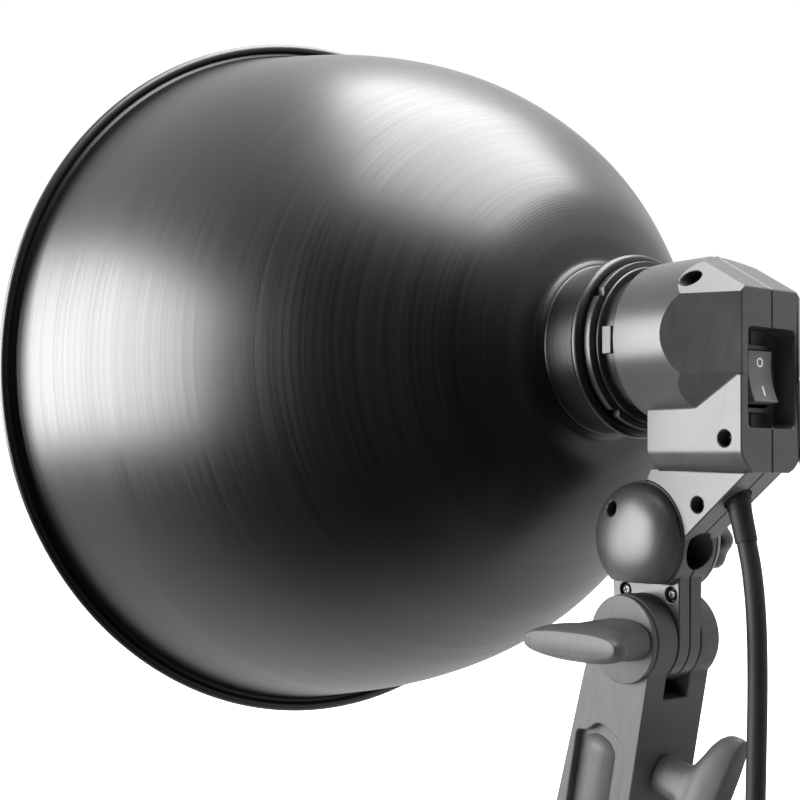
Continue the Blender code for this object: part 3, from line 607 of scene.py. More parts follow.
def cord():
    line = cord_line()
    flex = tube("mains_cord", line, CORD_RADIUS, ROW)
    plug_shell = plug(0, COIL_CENTRE.y + COIL_LAYER, TAIL_END - 0.3)
    tie = cable_tie()
    relief = strain_relief()
    piece(flex, None, "cord_rubber", "cord", "cord_coil", "cord_tail")
    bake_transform(flex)


def plug(x, y, top):
    """A flat two-pin plug with a ribbed neck and finger grooves."""
    neck, length, half, thick = 14.0, 36.0, 17.5, 6.9
    base = top - neck
    outline = [(x - 7.0, base + 3), (x - half, base - 12), (x - half, base - length),
               (x + half, base - length), (x + half, base - 12), (x + 7.0, base + 3)]
    shell = prism("mains_plug", soften(outline, 4.0), "Y", y - thick, y + thick, ROW)
    ribs = [(0, 3.4)]
    for k in range(5):
        for drop, radius in ((0.5, 3.6), (1.4, 3.6), (1.7, 3.0), (2.4, 3.0)):
            ribs.append((-2.4 * k - drop, radius + 0.32 * k))
    profile = [(0, 0)] + ribs + [(-neck - 3, 5.2), (-neck - 3, 0)]
    sleeve = turned("plug_neck", profile, "Z", (x, y, top), 32, ROW)
    grips = [prism("grip", rounded_box(9.0, 0.7, 0.6, (x, base - 16 - 4 * k)), "Y", y + side * thick - 0.8,
                   y + side * thick + 0.8, ROW) for k in range(4) for side in (-1, 1)]
    join(shell, sleeve)
    cut(shell, *grips)
    settle(shell, 1.1, 3)
    piece(shell, "bracket", "black_plastic", "plug_body")
    face = base - length - 0.3
    for name, side in (("left", -1), ("right", 1)):
        profile = soften([(face, 0), (face, 2.0), (face - 19.0, 2.0), (face - 19.0, 0)], 1.2, False)
        pin = turned(f"turned_pin_{name}", profile, "Z", (x + side * 9.5, y, 0), 32, ROW)
        piece(pin, "bracket", "brass", f"plug_pin_{name}")
    return shell


def cable_tie():
    """A strap round the coil with its toothed lock and trimmed end."""
    x, y, z = COIL_CENTRE + Vector((36.0, 0, 0))
    strap = [rounded_box(12.9 + wall, 6.7 + wall, 2.0 + wall, (x, y)) for wall in (1.3, 0.0)]
    band = prism("coil_tie", strap, "Z", z - 2.5, z + 2.5, ROW)
    lock = prism("tie_lock", rounded_box(2.6, 1.4, 0.6, (x, y - 8.4 + 0.4)), "Z", z - 3.4, z + 3.4, ROW)
    end = prism("tie_end", rounded_box(4.0, 0.5, 0.4, (x - 4.5, y - 8.6)), "Z", z - 1.8, z + 1.8, ROW)
    join(band, lock, end)
    settle(band, 0.35, 2)
    return piece(band, "bracket", "cord_rubber", "cord_tie")


# ---- strain relief
CORD_EXIT = Vector((0.0, 28.0, -50.0))
CORD_DIRECTION = Vector((0.0, 0.25, -0.968)).normalized()


def along_cord(obj):
    """Carry a piece drawn about local -Y onto the line where the cord leaves the housing."""
    turn = Vector((0, -1, 0)).rotation_difference(CORD_DIRECTION).to_matrix().to_4x4()
    obj.data.transform(at(CORD_EXIT) @ turn)
    return obj


def strain_relief():
    """A short collar and a plain taper down to the cord."""
    profile = [(-11.2, 0), (-11.2, 3.2), (-8.2, 3.4), (-8.2, 4.1), (0.6, 4.1), (0.9, 3.8), (2.4, 3.7),
               (2.7, 3.6), (4.2, 3.55), (4.5, 3.5), (13.0, 3.35), (13.0, 3.12), (10.9, 3.12), (10.9, 0)]
    sleeve = turned("strain_relief_sleeve", soften(profile, 0.25, False, 2), steps=48)
    return piece(along_cord(sleeve), "head", "cord_rubber", "strain_relief")


# ---- reflector and ring stack
DISH_REAR, DISH_NECK, DISH_FRONT, DISH_RADIUS, DISH_SHEET = 12.5, 28.7, 209.0, 148.8, 1.2
RIM_BEAD = 2.2
SHOULDER = 30.5
SLEEVE_RADIUS, SLEEVE_BORE = 23.6, 19.6
BOWL = ((SHOULDER, 31.6), (33.0, 42.0), (41.0, 57.2), (57.0, 75.4), (81.0, 97.8), (113.0, 117.6),
        (153.0, 132.4), (DISH_FRONT - 4.0, DISH_RADIUS - 4.4))
RIM_FLANGE = ((DISH_FRONT - 2.2, DISH_RADIUS - 3.6), (DISH_FRONT - 0.9, DISH_RADIUS - 2.4))


def offset(outline, depth):
    """An outline moved inward by a depth, along the mean normal at each point."""
    points = [Vector(p) for p in outline]
    moved = []
    for i, p in enumerate(points):
        way = (points[min(i + 1, len(points) - 1)] - points[max(i - 1, 0)]).normalized()
        moved.append((p.x + way.y * depth, p.y - way.x * depth))
    return moved


def reflector():
    """The bowl: a rolled mouth, a short neck, a beaded shoulder, the flare and a wired rim."""
    seat, neck = SLEEVE_RADIUS + 0.6, DISH_NECK - DISH_SHEET
    curve = [(p.x, p.y) for p in smooth_path([(h, r, 0) for h, r in BOWL], 14)]
    rim = soften([curve[-1], RIM_FLANGE[0], RIM_FLANGE[1]], 1.6, False)[1:]
    step = [(DISH_REAR + 2.6, DISH_NECK), (SHOULDER - 1.9, DISH_NECK), (SHOULDER - 1.4, DISH_NECK + 1.1),
            (SHOULDER - 0.5, DISH_NECK + 2.1), curve[0]]
    mouth = arc((DISH_REAR + 0.6, 28.9), 1.9, 180, 0, 12)
    bead = arc((DISH_FRONT, DISH_RADIUS), RIM_BEAD, 240, -60, 28)
    outside = mouth + soften(step, 0.9, False) + curve[1:] + rim[:-1] + bead
    inside = offset(curve, DISH_SHEET)[::-1]
    inside += [(SHOULDER - 0.5, neck), (DISH_REAR + 1.2, neck), (DISH_REAR + 1.2, seat),
               (DISH_REAR - 0.4, seat)]
    profile = outside + inside
    bowl = turned("reflector_bowl", profile, steps=288)
    piece(bowl, "head", "black_spun_aluminium", "reflector_dish", second="bowl_lining")
    first = len(outside) - 10
    along = bowl.data.attributes["along"].data
    edge = sum(math.dist(a, b) for a, b in zip(outside[:first], outside[1:first]))
    last = sum(math.dist(a, b) for a, b in zip(profile, profile[1:])) - 3.0
    for face in bowl.data.polygons:
        places = [along[v].value for v in face.vertices]
        if min(places) > edge and max(places) < last and max(places) - min(places) < 40:
            face.material_index = 1


def thread(low, high, crest, pitch, depth):
    """A turned thread: rounded ridges from one height up to another."""
    points = []
    count = round((high - low) / pitch)
    for k in range(count):
        h = low + (high - low) * k / count
        points += [(h, crest - depth), (h + pitch * 0.3, crest), (h + pitch * 0.6, crest),
                   (h + pitch * 0.9, crest - depth)]
    return points


def ring_stack():
    """The threaded sleeve, the reflector lock ring behind the bowl and the clamp ring inside it."""
    sleeve = [(-16.3, SLEEVE_BORE), (-16.3, 24.5), (-14.3, 24.5), (-14.3, SLEEVE_RADIUS),
              (6.2, SLEEVE_RADIUS)]
    sleeve += arc((6.9, 25.3), 0.7, 180, 0, 12) + [(7.6, SLEEVE_RADIUS)]
    sleeve += thread(7.8, 25.4, SLEEVE_RADIUS, 2.2, 0.6)
    sleeve += [(25.6, SLEEVE_RADIUS - 0.6), (26.0, SLEEVE_RADIUS - 1.0), (26.0, SLEEVE_BORE)]
    piece(turned("threaded_sleeve", sleeve, steps=128), "head", "black_plastic", "socket_sleeve")

    tab = prism("key_tab_plate", rounded_box(2.0, 4.5, 0.5, (-3.2, 0)), "X", SLEEVE_RADIUS + 0.3, 25.4)
    piece(settle(tab, 0.3), "head", "housing_plastic", "key_tab")

    lock = ring("lock_ring_knurled", 28.0, SLEEVE_RADIUS + 0.3, "Y", 8.0, 10.9, steps=160, round_by=0.5)
    cut(lock, *notches(rounded_box(1.6, 1.6, 0.4), 28.4, 4, 35, -12.4, -7.4))
    piece(settle(lock), "lock_ring", "black_plastic", "reflector_lock_ring")

    clamp = ring("clamp_ring_turned", 27.0, SLEEVE_RADIUS + 0.3, "Y", DISH_REAR + 1.6, DISH_REAR + 5.0,
                 round_by=0.6)
    cut(clamp, *notches(rounded_box(1.4, 1.8, 0.3), 27.2, 6, 0, -18.5, -13.0))
    piece(settle(clamp), "head", "plated_steel", "reflector_clamp_ring")


def notches(outline, radius, count, first, low, high):
    """Cutters of one outline, spaced evenly round the lamp axis from a first angle in degrees."""
    cutters = []
    for k in range(count):
        a = radians(first + 360 / count * k)
        moved = [(radius * cos(a) + x, radius * sin(a) + y) for x, y in outline]
        cutters.append(prism("notch", moved, "Y", low, high))
    return cutters


def merged(name, objects):
    """Several separate closed shapes as one object."""
    work = bmesh.new()
    for obj in objects:
        work.from_mesh(obj.data)
    return tool(name, to_mesh(name, work), objects[0].matrix_world)


# ---- lamp socket and bulb
ROLLED_PITCH = 3.6


def rolled_thread(start, first_crest, second_crest, valley):
    """Five turns of the sheet-metal thread that the lamp socket and the bulb share."""
    points = []
    for k in range(5):
        h = start + ROLLED_PITCH * k
        points += [(h + 0.3, first_crest), (h + 1.2, second_crest), (h + 2.1, valley), (h + 2.9, valley)]
    return points


def lamp_socket():
    body = [(-3.6, 0), (-3.6, 14.5), (17.6, 14.5), (19.0, 15.6), (19.0, 18.2), (18.2, 19.2), (4.0, 19.2),
            (3.2, 18.7), (2.0, 18.7), (1.2, 19.2), (-9.2, 19.2), (-10.0, 18.4), (-10.0, 0)]
    socket = turned("porcelain_socket", soften(body, 0.5, False))
    piece(socket, "head", "porcelain", "socket_body")
    low, high, crest, valley, sheet = -1.6, 18.0, 14.2, 13.7, 0.45
    outer = rolled_thread(-0.8, crest, crest, valley)
    inner = rolled_thread(-0.8, crest - sheet, crest - sheet, valley - sheet)[::-1]
    profile = [(low, crest), *outer, (high, crest), (high, crest - 0.5), *inner, (low, crest - 0.5)]
    piece(turned("screw_shell_rolled", profile), "head", "brass", "screw_shell")
    leaf = [(3.3, -7.0), (2.6, -7.0), (2.6, -3.5), (0.6, 1.0), (0.6, 2.5), (1.3, 2.5), (1.3, 1.3),
            (3.3, -3.2)]
    contact = prism("contact_leaf", leaf, "X", -2.5, 2.5)
    piece(settle(contact, 0.12, 2), "head", "brass", "centre_contact")


def bulb():
    outer = [(-0.2, 0), (-0.2, 3.0), (0.4, 6.0), (2.6, 12.0)] + rolled_thread(3.4, 12.3, 12.2, 13.0)
    outer += [(23.0, 12.5), (24.0, 13.2), (28.0, 14.0)]
    inner = [(28.0, 12.8), (24.0, 12.0), (5.0, 11.6), (5.0, 0)]
    piece(turned("bulb_screw_cap", outer + inner), "head", "brass", "bulb_cap")
    centre, radius, neck, glass = (82.0, 0.0), 37.5, 14.8, 1.0
    outside = arc(centre, radius, 0, 138, 40)
    outside += [(46.5, 19.0), (40.0, neck + 1.5), (34.0, neck + 0.3), (28.4, neck)]
    inside = [(28.4, neck - glass), (40.0, neck + 1.5 - glass)] + arc(centre, radius - glass, 138, 0, 24)
    globe = turned("bulb_globe", outside + inside, steps=128)
    piece(globe, "head", "opal_glass", "bulb_glass")


# ---- housing
BARREL_RADIUS, BARREL_LENGTH, HOUSING_REAR, REAR_TRIM = 26.0, 21.0, 41.0, 44.0
CONE_RADIUS, REAR_HALF_WIDTH = 19.5, 13.6
PANEL_HALF_WIDTH, PANEL_TOP, PANEL_BOTTOM = 14.0, -12.6, -35.4
WEB_HALF_WIDTH, WEB_TOP = 8.0, -41.5
DISC_CENTRE, DISC_RADIUS, DISC_FLOOR = (-5.3, -63.0), 18.5, -77.0
DOME_DEPTH, DOME_POWER = 10.0, 2.6
FACET_HALF_HEIGHT = 12.0
UMBRELLA_HOLE, UMBRELLA_Z = 5.8, -66.3
CHEEK_RADIUS = 14.3
RECESS_FLOOR = 32.8
SCREWS = ((34.6, -31.4, 8.0), (18.8, -51.6, 2.0), (25.0, 17.0, 9.0), (-11.5, -53.7, 7.0))
TONGUE_SCREWS = ((-14.6, -80.5), (5.3, -80.5))


def outer_housing():
    shoulder = smooth_path([(-23.0, BARREL_RADIUS, 0), (-26.0, 25.7, 0), (-29.0, 25.0, 0), (-32.0, 24.1, 0),
                            (-35.0, 22.9, 0), (-38.0, 21.4, 0), (-HOUSING_REAR, CONE_RADIUS, 0)], 3)
    crowned = [(-3.0 * k, BARREL_RADIUS + 0.004 * k * (7 - k)) for k in range(8)]
    profile = [(0, 0)] + crowned + [(p.x, p.y) for p in shoulder]
    barrel = turned("barrel_form", profile + [(-REAR_TRIM, CONE_RADIUS), (-REAR_TRIM, 0)], steps=148)
    far = 60.0
    side = [(BARREL_RADIUS, BARREL_LENGTH - 1), (REAR_HALF_WIDTH, HOUSING_REAR),
            (REAR_HALF_WIDTH, far), (far, far), (far, BARREL_LENGTH - 1)]
    right = prism("right_facet", side, "Z", -far, far)
    left = prism("left_facet", [(-a, b) for a, b in side], "Z", -far, far)
    top = prism("top_facet", [(b, a) for a, b in side], "X", -far, far)
    corners = [corner_facet(f"corner_{i}", *signs)
               for i, signs in enumerate(((1, 1), (-1, 1), (1, -1), (-1, -1)))]
    cut(barrel, right, left, top, *corners)
    curve = [(PANEL_HALF_WIDTH, PANEL_BOTTOM + 0.8, 0), (13.5, -36.4, 0), (12.2, -38.4, 0), (10.4, -40.3, 0),
             (WEB_HALF_WIDTH, WEB_TOP, 0)]
    edge = [(PANEL_HALF_WIDTH, PANEL_TOP)] + [(p.x, p.y) for p in smooth_path(curve, 3)]
    panel = edge + [(-a, b) for a, b in edge[::-1]]
    block = prism("panel_form", panel, "Y", 3.4, REAR_TRIM + 1)
    web = [(38.0, WEB_TOP + 1), (-0.6, WEB_TOP + 1)]
    web += arc(DISC_CENTRE, DISC_RADIUS, 83, 229.2, 48)
    web += arc(DISC_CENTRE, DISC_RADIUS, 310.8, 361.5, 18)
    web += [(16.0, -60.0), (38.0, WEB_TOP)]
    plate = prism("web_form", web, "X", -WEB_HALF_WIDTH, WEB_HALF_WIDTH)
    y, z = PIVOT_IN_HEAD.y, PIVOT_IN_HEAD.z
    tongue = arc((y, z), CHEEK_RADIUS, 180, 360, 48) + [(y + CHEEK_RADIUS, -70), (y - CHEEK_RADIUS, -70)]
    fin = prism("tongue_form", tongue, "X", -5.0, 5.0)
    join(barrel, block, plate, fin, dome("dome_form_right", 1), dome("dome_form_left", -1))
    trim = prism("rear_trim", oblong(-far, -far, far, far), "Y", HOUSING_REAR, far)
    return cut(barrel, trim)


def corner_facet(name, across, up):
    """A slab that cuts a flat over the corner between a side facet and the top or bottom."""
    slope = (BARREL_RADIUS - REAR_HALF_WIDTH) / (HOUSING_REAR - BARREL_LENGTH + 1)
    slab = prism(name, oblong(-70, -70, 70, 70), "Z", 0, 60)
    turn = facing(Vector((across, slope, up)), "Z")
    slab.data.transform(at((across * REAR_HALF_WIDTH, HOUSING_REAR, up * FACET_HALF_HEIGHT)) @ turn)
    return slab


def dome(name, side):
    """An egg-shaped boss on one side of the disc, cut flat underneath."""
    work = bmesh.new()
    bmesh.ops.create_uvsphere(work, u_segments=76, v_segments=41, radius=1)
    for vert in work.verts:
        radial = math.hypot(vert.co.x, vert.co.y)
        vert.co *= (abs(vert.co.z) ** DOME_POWER + radial ** DOME_POWER) ** (-1 / DOME_POWER) * MM
    scale = Matrix.Diagonal((DOME_DEPTH, DISC_RADIUS - 0.3, DISC_RADIUS - 0.3, 1))
    shift = at((6.0 * side, *DISC_CENTRE))
    bmesh.ops.transform(work, matrix=shift @ scale @ spin(90, "Y"), verts=work.verts)
    floor = Vector((0, 0, DISC_FLOOR)) * MM
    cutting = bmesh.ops.bisect_plane(work, geom=work.verts[:] + work.edges[:] + work.faces[:],
                                     plane_co=floor, plane_no=(0, 0, -1), clear_outer=True)
    rim = [e for e in cutting["geom_cut"] if isinstance(e, bmesh.types.BMEdge)]
    bmesh.ops.contextual_create(work, geom=rim)
    return tool(name, to_mesh(name, work), LAMP)


def housing_hollows():
    """Everything that is open inside the joined halves."""
    bore = [(2.0, 0), (2.0, 24.6), (-0.6, 23.9), (-14.0, 23.9), (-14.0, 24.9), (-16.6, 24.9),
            (-16.6, 22.6), (-21.0, 22.6), (-21.0, 0)]
    barrel = turned("barrel_hollow", bore, steps=148)
    rear = prism("rear_hollow", rounded_box(11.4, 21.8, 2.0, (0, -10.8)), "Y", 20.0, 30.3)
    lower = prism("lower_hollow", oblong(-11.8, -17.0, 11.8, -33.4), "Y", 5.8, 29.9)
    web = prism("web_hollow", oblong(-5.6, -32.0, 5.6, -45.0), "Y", 4.4, 29.5)
    recess = prism("switch_recess", rounded_box(10.8, 15.05, 2.0, (0, -13.15)), "Y", RECESS_FLOOR,
                   HOUSING_REAR + 4)
    switch = prism("switch_hole", rounded_box(6.9, 9.9, 0.5, (0, SWITCH_Z)), "Y", 28.0, RECESS_FLOOR + 1)
    umbrella = rod("umbrella_bore", UMBRELLA_HOLE, "Y", -30, 40, (0, 0, UMBRELLA_Z), 64)
    stud = rod("knob_bore", 2.9, "X", -30, 0, (0, *KNOB_CENTRE))
    nut = prism("knob_nut_pocket", hexagon(KNOB_CENTRE, 5.1), "X", -11.2, -7.2)
    pivot = rod("tongue_bore", 3.4, "X", -20, 20, (0, PIVOT_IN_HEAD.y, PIVOT_IN_HEAD.z))
    gland = along_cord(rod("gland_hole", 4.4, "Y", -12, 20))
    hollows = [barrel, rear, lower, web, recess, switch, umbrella, stud, nut, pivot, gland]
    for y, z, seat in SCREWS:
        hollows.append(rod("screw_head_hole", 2.5, "X", seat, 30, (0, y, z), 40))
        hollows.append(rod("screw_hole", 1.6, "X", -7, seat + 0.5, (0, y, z), 24))
    for y, z in TONGUE_SCREWS:
        hollows.append(rod("screw_head_hole", 2.4, "X", 3.2, 12, (0, y, z), 40))
        hollows.append(rod("screw_hole", 1.2, "X", -4, 3.4, (0, y, z), 24))
    for side in (-1, 1):
        hollows.append(rim_groove(side))
    return hollows


def rim_groove(side):
    """The fine channel that sets the dome off from the web beside it."""
    profile = arc((side * WEB_HALF_WIDTH, 18.3), 0.55, 0, 345, 11)
    return turned("rim_groove", profile, "X", (0, *DISC_CENTRE), 96)


def housing_halves():
    """Two mirrored shells that meet on the middle plane and hold everything between them."""
    outer = settle(outer_housing())
    hollows = housing_hollows()
    for name, side in (("housing_right", 1), ("housing_left", -1)):
        half = tool(name + "_shell", outer.data.copy(), LAMP)
        near, far = (-60.0, 0.12) if side > 0 else (-0.12, 60.0)
        other = prism("far_side", oblong(near, -130, far, 60), "Y", -60, 90)
        cut(half, other, *hollows)
        settle(half, 0.4, 3, 45, wide_by=1.6, wide=on_rear_left_edge, clamp=False)
        piece(half, "head", "housing_plastic", name)


def on_rear_left_edge(place_mm):
    """Whether an edge lies on the rounder corner that the photo shows behind the switch."""
    straight = place_mm.z > PANEL_BOTTOM + 0.8
    return straight and place_mm.y > HOUSING_REAR - 0.1 and place_mm.x < -REAR_HALF_WIDTH + 0.2


def cross_screw(name, node_name, y, z, seat, head, height, shank, tip):
    """A pan-head screw along X with a cross recess."""
    low, top = seat + 0.3, seat + 0.3 + height
    profile = [(top, 0), (top, head * 0.62), (top - height * 0.25, head * 0.9), (low + height * 0.3, head),
               (low, head), (low, shank)]
    profile += thread(tip + 1.2, low - 0.4, shank, 1.0, 0.2)[::-1] + [(tip, 0)]
    screw = turned(name, profile, "X", (0, y, z), 40)
    bars = [prism("cross", rounded_box(head * 0.55, head * 0.13, 0.05, count=2), "X", top - height * 0.6,
                  top + 1) for _ in range(2)]
    for bar, turn in zip(bars, (20, 110)):
        bar.data.transform(at((0, y, z)) @ spin(turn, "X"))
    cut(screw, *bars)
    piece(settle(screw), "head", "blackened_steel", node_name)


def fasteners():
    for i, (y, z, seat) in enumerate(SCREWS, 1):
        cross_screw(f"shell_screw_{i}", f"housing_screw_{i}", y, z, seat, 2.2, 1.8, 1.3, -6.0)
    for i, (y, z) in enumerate(TONGUE_SCREWS, 1):
        cross_screw(f"fin_screw_{i}", f"tongue_screw_{i}", y, z, 3.2, 1.8, 1.3, 0.9, -3.0)


# ---- switch and wiring
PADDLE_HALF = 7.9


def switch():
    low = RECESS_FLOOR + 0.3
    body = prism("switch_case", rounded_box(6.6, 9.6, 0.4, (0, SWITCH_Z)), "Y", 21.5, low + 0.5)
    bezel = prism("switch_bezel", rounded_box(7.5, 10.5, 1.0, (0, SWITCH_Z)), "Y", low, low + 1.5)
    well = prism("switch_well", rounded_box(5.7, 8.7, 0.3, (0, SWITCH_Z)), "Y", 24.0, low + 2.5)
    join(body, bezel)
    cut(body, well)
    piece(settle(body, 0.3), "head", "black_plastic", "switch_frame")

    heights = [PADDLE_HALF - 2 * PADDLE_HALF * k / 24 for k in range(25)]
    paddle = [(paddle_height(z), z) for z in heights]
    paddle += [(-0.5, -PADDLE_HALF), (-3.6, -4.2), (-4.4, 0), (-3.6, 4.2), (-0.5, PADDLE_HALF)]
    rocker = prism("rocker_paddle", paddle, "X", -5.4, 5.4, ROCKER)
    settle(rocker, 0.35)
    off_mark = prism("off_mark", [arc((0, 4.4), r, 0, 350, 35) for r in (1.4, 1.0)], "Y", -0.3, 0.05)
    on_mark = prism("on_mark", rounded_box(0.24, 1.5, 0.2, (0, -4.4)), "Y", -0.3, 0.07)
    marks = merged("marks", [off_mark, on_mark])
    for vert in marks.data.vertices:
        vert.co.y += paddle_height(vert.co.z / MM) * MM
    plain = len(rocker.data.polygons)
    both = merged("rocker_face", [rocker, marks])
    both.matrix_world = ROCKER
    piece(both, "rocker", "black_plastic", "switch_rocker", second="mark_white")
    # The rocker takes a lighter copy of the black plastic: painted light that lifts it out of the recess's
    # shade.
    both.data.materials[0] = FINISH["rocker_painted_light"]
    for face in both.data.polygons[plain:]:
        face.material_index = 1
    for name, z in (("switch_terminal_upper", -8.0), ("switch_terminal_lower", -18.0)):
        blade = prism(name + "_blade", oblong(-2.4, z - 0.4, 2.4, z + 0.4), "Y", 15.6, 21.2)
        piece(settle(blade, 0.15, 2), "head", "brass", name)


def paddle_height(z):
    """How far the rocker's dished face stands from its axis, at a height from its middle."""
    return 2.75 + 1.25 * (z / PADDLE_HALF) ** 2


LEADS = {
    "lead_live": ((-1.6, 24.8, -38.2), (-4.5, 20.5, -31.0), (-6.2, 19.2, -24.0), (-5.4, 18.7, -19.2),
                  (-2.8, 18.5, -18.0)),
    "lead_switched": ((0.0, 15.2, -8.0), (0.0, 13.0, -5.0), (0.0, 12.6, 1.0), (0.0, 11.2, 5.0)),
    "lead_neutral": ((1.6, 24.8, -38.2), (4.5, 20.5, -31.0), (7.5, 19.2, -24.0), (9.3, 18.4, -16.5),
                     (10.0, 14.0, -8.0), (10.0, 11.2, -4.0)),
}


def wiring():
    for name, points in LEADS.items():
        piece(tube(name + "_wire", smooth_path(points, 6), 1.1), "head", "wire_insulation", name)


# ---- umbrella lock
def umbrella_lock():
    rings = []
    for height, radius, wave in ((-18.3, 7.6, 0.0), (-18.5, 8.5, 0.2), (-19.1, 9.5, 0.7), (-20.2, 10.2, 1.0),
                                 (-22.0, 10.5, 1.0), (-24.2, 10.5, 1.0), (-25.4, 10.0, 0.9),
                                 (-26.1, 9.0, 0.6), (-26.4, 7.6, 0.3), (-25.9, 6.0, 0.0), (-25.8, 2.0, 0.0)):
        lobe = [radius + wave * (0.75 * cos(6 * a) - 0.6) for a in angles(144)]
        rings.append([(height, r * cos(a), r * sin(a)) for r, a in zip(lobe, angles(144))])
    knob = loft("lobed_knob", rings, KNOB)
    cut(knob, rod("knob_stud_hole", 2.8, "X", -23.0, -10.0, place=KNOB))
    piece(settle(knob), "umbrella_lock", "black_plastic", "umbrella_lock_knob")
    stud = [(-5.9, 0), (-5.9, 1.9)] + thread(-22.0, -6.6, 2.5, 1.0, 0.35)[::-1] + [(-22.6, 2.0), (-22.6, 0)]
    stud = turned("knob_stud", stud, "X", steps=48, place=KNOB)
    piece(stud, "umbrella_lock", "plated_steel", "umbrella_lock_stud")
    nut = prism("knob_nut", hexagon(KNOB_CENTRE, 4.8), "X", -10.9, -7.5)
    cut(nut, rod("nut_thread", 2.8, "X", -20, 0, (0, *KNOB_CENTRE)))
    piece(settle(nut, 0.25, 2), "head", "brass", "umbrella_lock_nut")


def angles(count):
    return [2 * math.pi * k / count for k in range(count)]


# ---- bracket
FORK_HALF_WIDTH, SLOT_HALF_WIDTH, SLOT_FLOOR, BRACKET_REAR = 14.0, 5.4, -17.0, 11.5
BOLT_RADIUS, BOLT_HOLE = 2.9, 3.3
SOCKET_BORE, SOCKET_RADIUS, SOCKET_TOP = 8.1, 9.6, -37.0
POCKET_FLOOR, COLUMN_RADIUS, COLUMN_Y = 11.2, 12.2, -6.8
LOCK_Z = 33.0 - PIVOT.z


def side_pocket(side):
    """The arched recess in one side wall, with the socket's rounded column left standing in it."""
    arch = [(7.0, -66.0), (6.6, -37.0), (4.0, -32.6)] + arc((-4.6, -36.4), 6.0, 55, 125, 16)
    arch += [(-11.0, -34.6), (-15.6, -36.0), (-15.6, -66.0)]
    low, high = sorted((side * POCKET_FLOOR, side * 30))
    pocket = prism("side_pocket", soften(arch, 1.4), "X", low, high, BRACKET)
    profile = [(-32.4, 0), (-32.4, 4.0), (-34.4, 9.6), (-38.0, COLUMN_RADIUS), (-80.0, COLUMN_RADIUS),
               (-80.0, 0)]
    centre = (side * (FORK_HALF_WIDTH - 0.4 - COLUMN_RADIUS), COLUMN_Y, 0)
    column = turned("socket_column", soften(profile, 2.0, False), "Z", centre, 96, BRACKET)
    return cut(pocket, column)


def outside_pocket(place_mm):
    """Whether an edge lies clear of the side pockets' floors, where only a fine rounding fits."""
    return place_mm.z > -28.0 or not POCKET_FLOOR - 0.1 < abs(place_mm.x) < FORK_HALF_WIDTH - 0.05


def bracket():
    outline = arc((0, 0), CHEEK_RADIUS, -36, 180, 72)
    outline += [(-16.4, -15.0), (-21.5, -75.0), (BRACKET_REAR, -75.0)]
    body = prism("fork_body", outline, "X", -FORK_HALF_WIDTH, FORK_HALF_WIDTH, BRACKET)
    slot = prism("fork_slot", oblong(-SLOT_HALF_WIDTH, SLOT_FLOOR, SLOT_HALF_WIDTH, 30), "Y", -40, 40,
                 BRACKET)
    bore = rod("bolt_bore", BOLT_HOLE, "X", -30, 30, place=BRACKET)
    seats = rod("disc_seat", 12.4, "X", -6.7, 6.7, steps=96, place=BRACKET)
    room = rod("socket_room", SOCKET_RADIUS + 0.3, "Z", -80, SOCKET_TOP + 1.7, (0, -PIVOT.y, 0), 64, BRACKET)
    lock = rod("lock_bore", BOLT_HOLE, "Y", -40, 0, (0, 0, LOCK_Z), place=BRACKET)
    pocket = prism("lock_nut_pocket", hexagon((0, LOCK_Z), 5.9), "Y", 0, 8.9, BRACKET)
    cut(body, slot, bore, seats, room, lock, pocket, side_pocket(1), side_pocket(-1))
    settle(body, 0.1, 3, wide_by=0.5, wide=outside_pocket, clamp=False)
    piece(body, "bracket", "bracket_plastic", "fork_bracket")

    profile = [(SOCKET_TOP + 1.4, 0), (SOCKET_TOP + 1.4, SOCKET_RADIUS), (-75.0, SOCKET_RADIUS),
               (-75.0, SOCKET_BORE + 0.4), (-74.4, SOCKET_BORE), (SOCKET_TOP, SOCKET_BORE), (SOCKET_TOP, 0)]
    socket = turned("stand_tube", soften(profile, 0.3, False), "Z", (0, -PIVOT.y, 0), 96, BRACKET)
    cut(socket, rod("lock_passage", BOLT_HOLE, "Y", -30, 5.3, (0, 0, LOCK_Z), place=BRACKET))
    piece(settle(socket), "bracket", "plated_steel", "stand_socket")
    nut = prism("captive_nut", hexagon((0, LOCK_Z), 5.5), "Y", 4.9, 8.6, BRACKET)
    cut(nut, rod("nut_thread", BOLT_HOLE, "Y", -30, 0, (0, 0, LOCK_Z), place=BRACKET))
    piece(settle(nut, 0.3, 2), "bracket", "plated_steel", "stand_lock_nut")


def tilt_clamp():
    """The pivot bolt, its discs and washer. The lever's nut turns on the bolt."""
    shank = [(-14.6, 0), (-14.6, BOLT_RADIUS), (16.0, BOLT_RADIUS)]
    shank += thread(16.2, 28.0, BOLT_RADIUS, 1.25, 0.45) + [(29.0, 2.2), (29.0, 0)]
    bolt = turned("tilt_bolt", shank, "X", steps=64, place=BRACKET)
    head = prism("bolt_head", hexagon((0, 0), 5.6), "X", -18.2, -14.3, BRACKET)
    dished = [(-18.4, 0), (-18.4, 4.6), (-17.2, 5.9), (-14.0, 5.9), (-14.0, 0)]
    boolean(head, "INTERSECT", [turned("head_crown", dished, "X", steps=64, place=BRACKET)])
    join(bolt, head)
    piece(settle(bolt), "bracket", "plated_steel", "pivot_bolt")
    for name, side in (("friction_disc_right", 1), ("friction_disc_left", -1)):
        low, high = sorted((side * 5.35, side * 6.4))
        disc = ring(name + "_pad", 12.0, BOLT_HOLE, "X", low, high, place=BRACKET, round_by=0.2)
        piece(disc, "bracket", "friction_fibre", name)
    washer = ring("thrust_washer", 14.0, BOLT_HOLE, "X", 14.3, 16.0, steps=128, place=BRACKET, round_by=0.35)
    piece(washer, "bracket", "bracket_plastic", "clamp_washer")


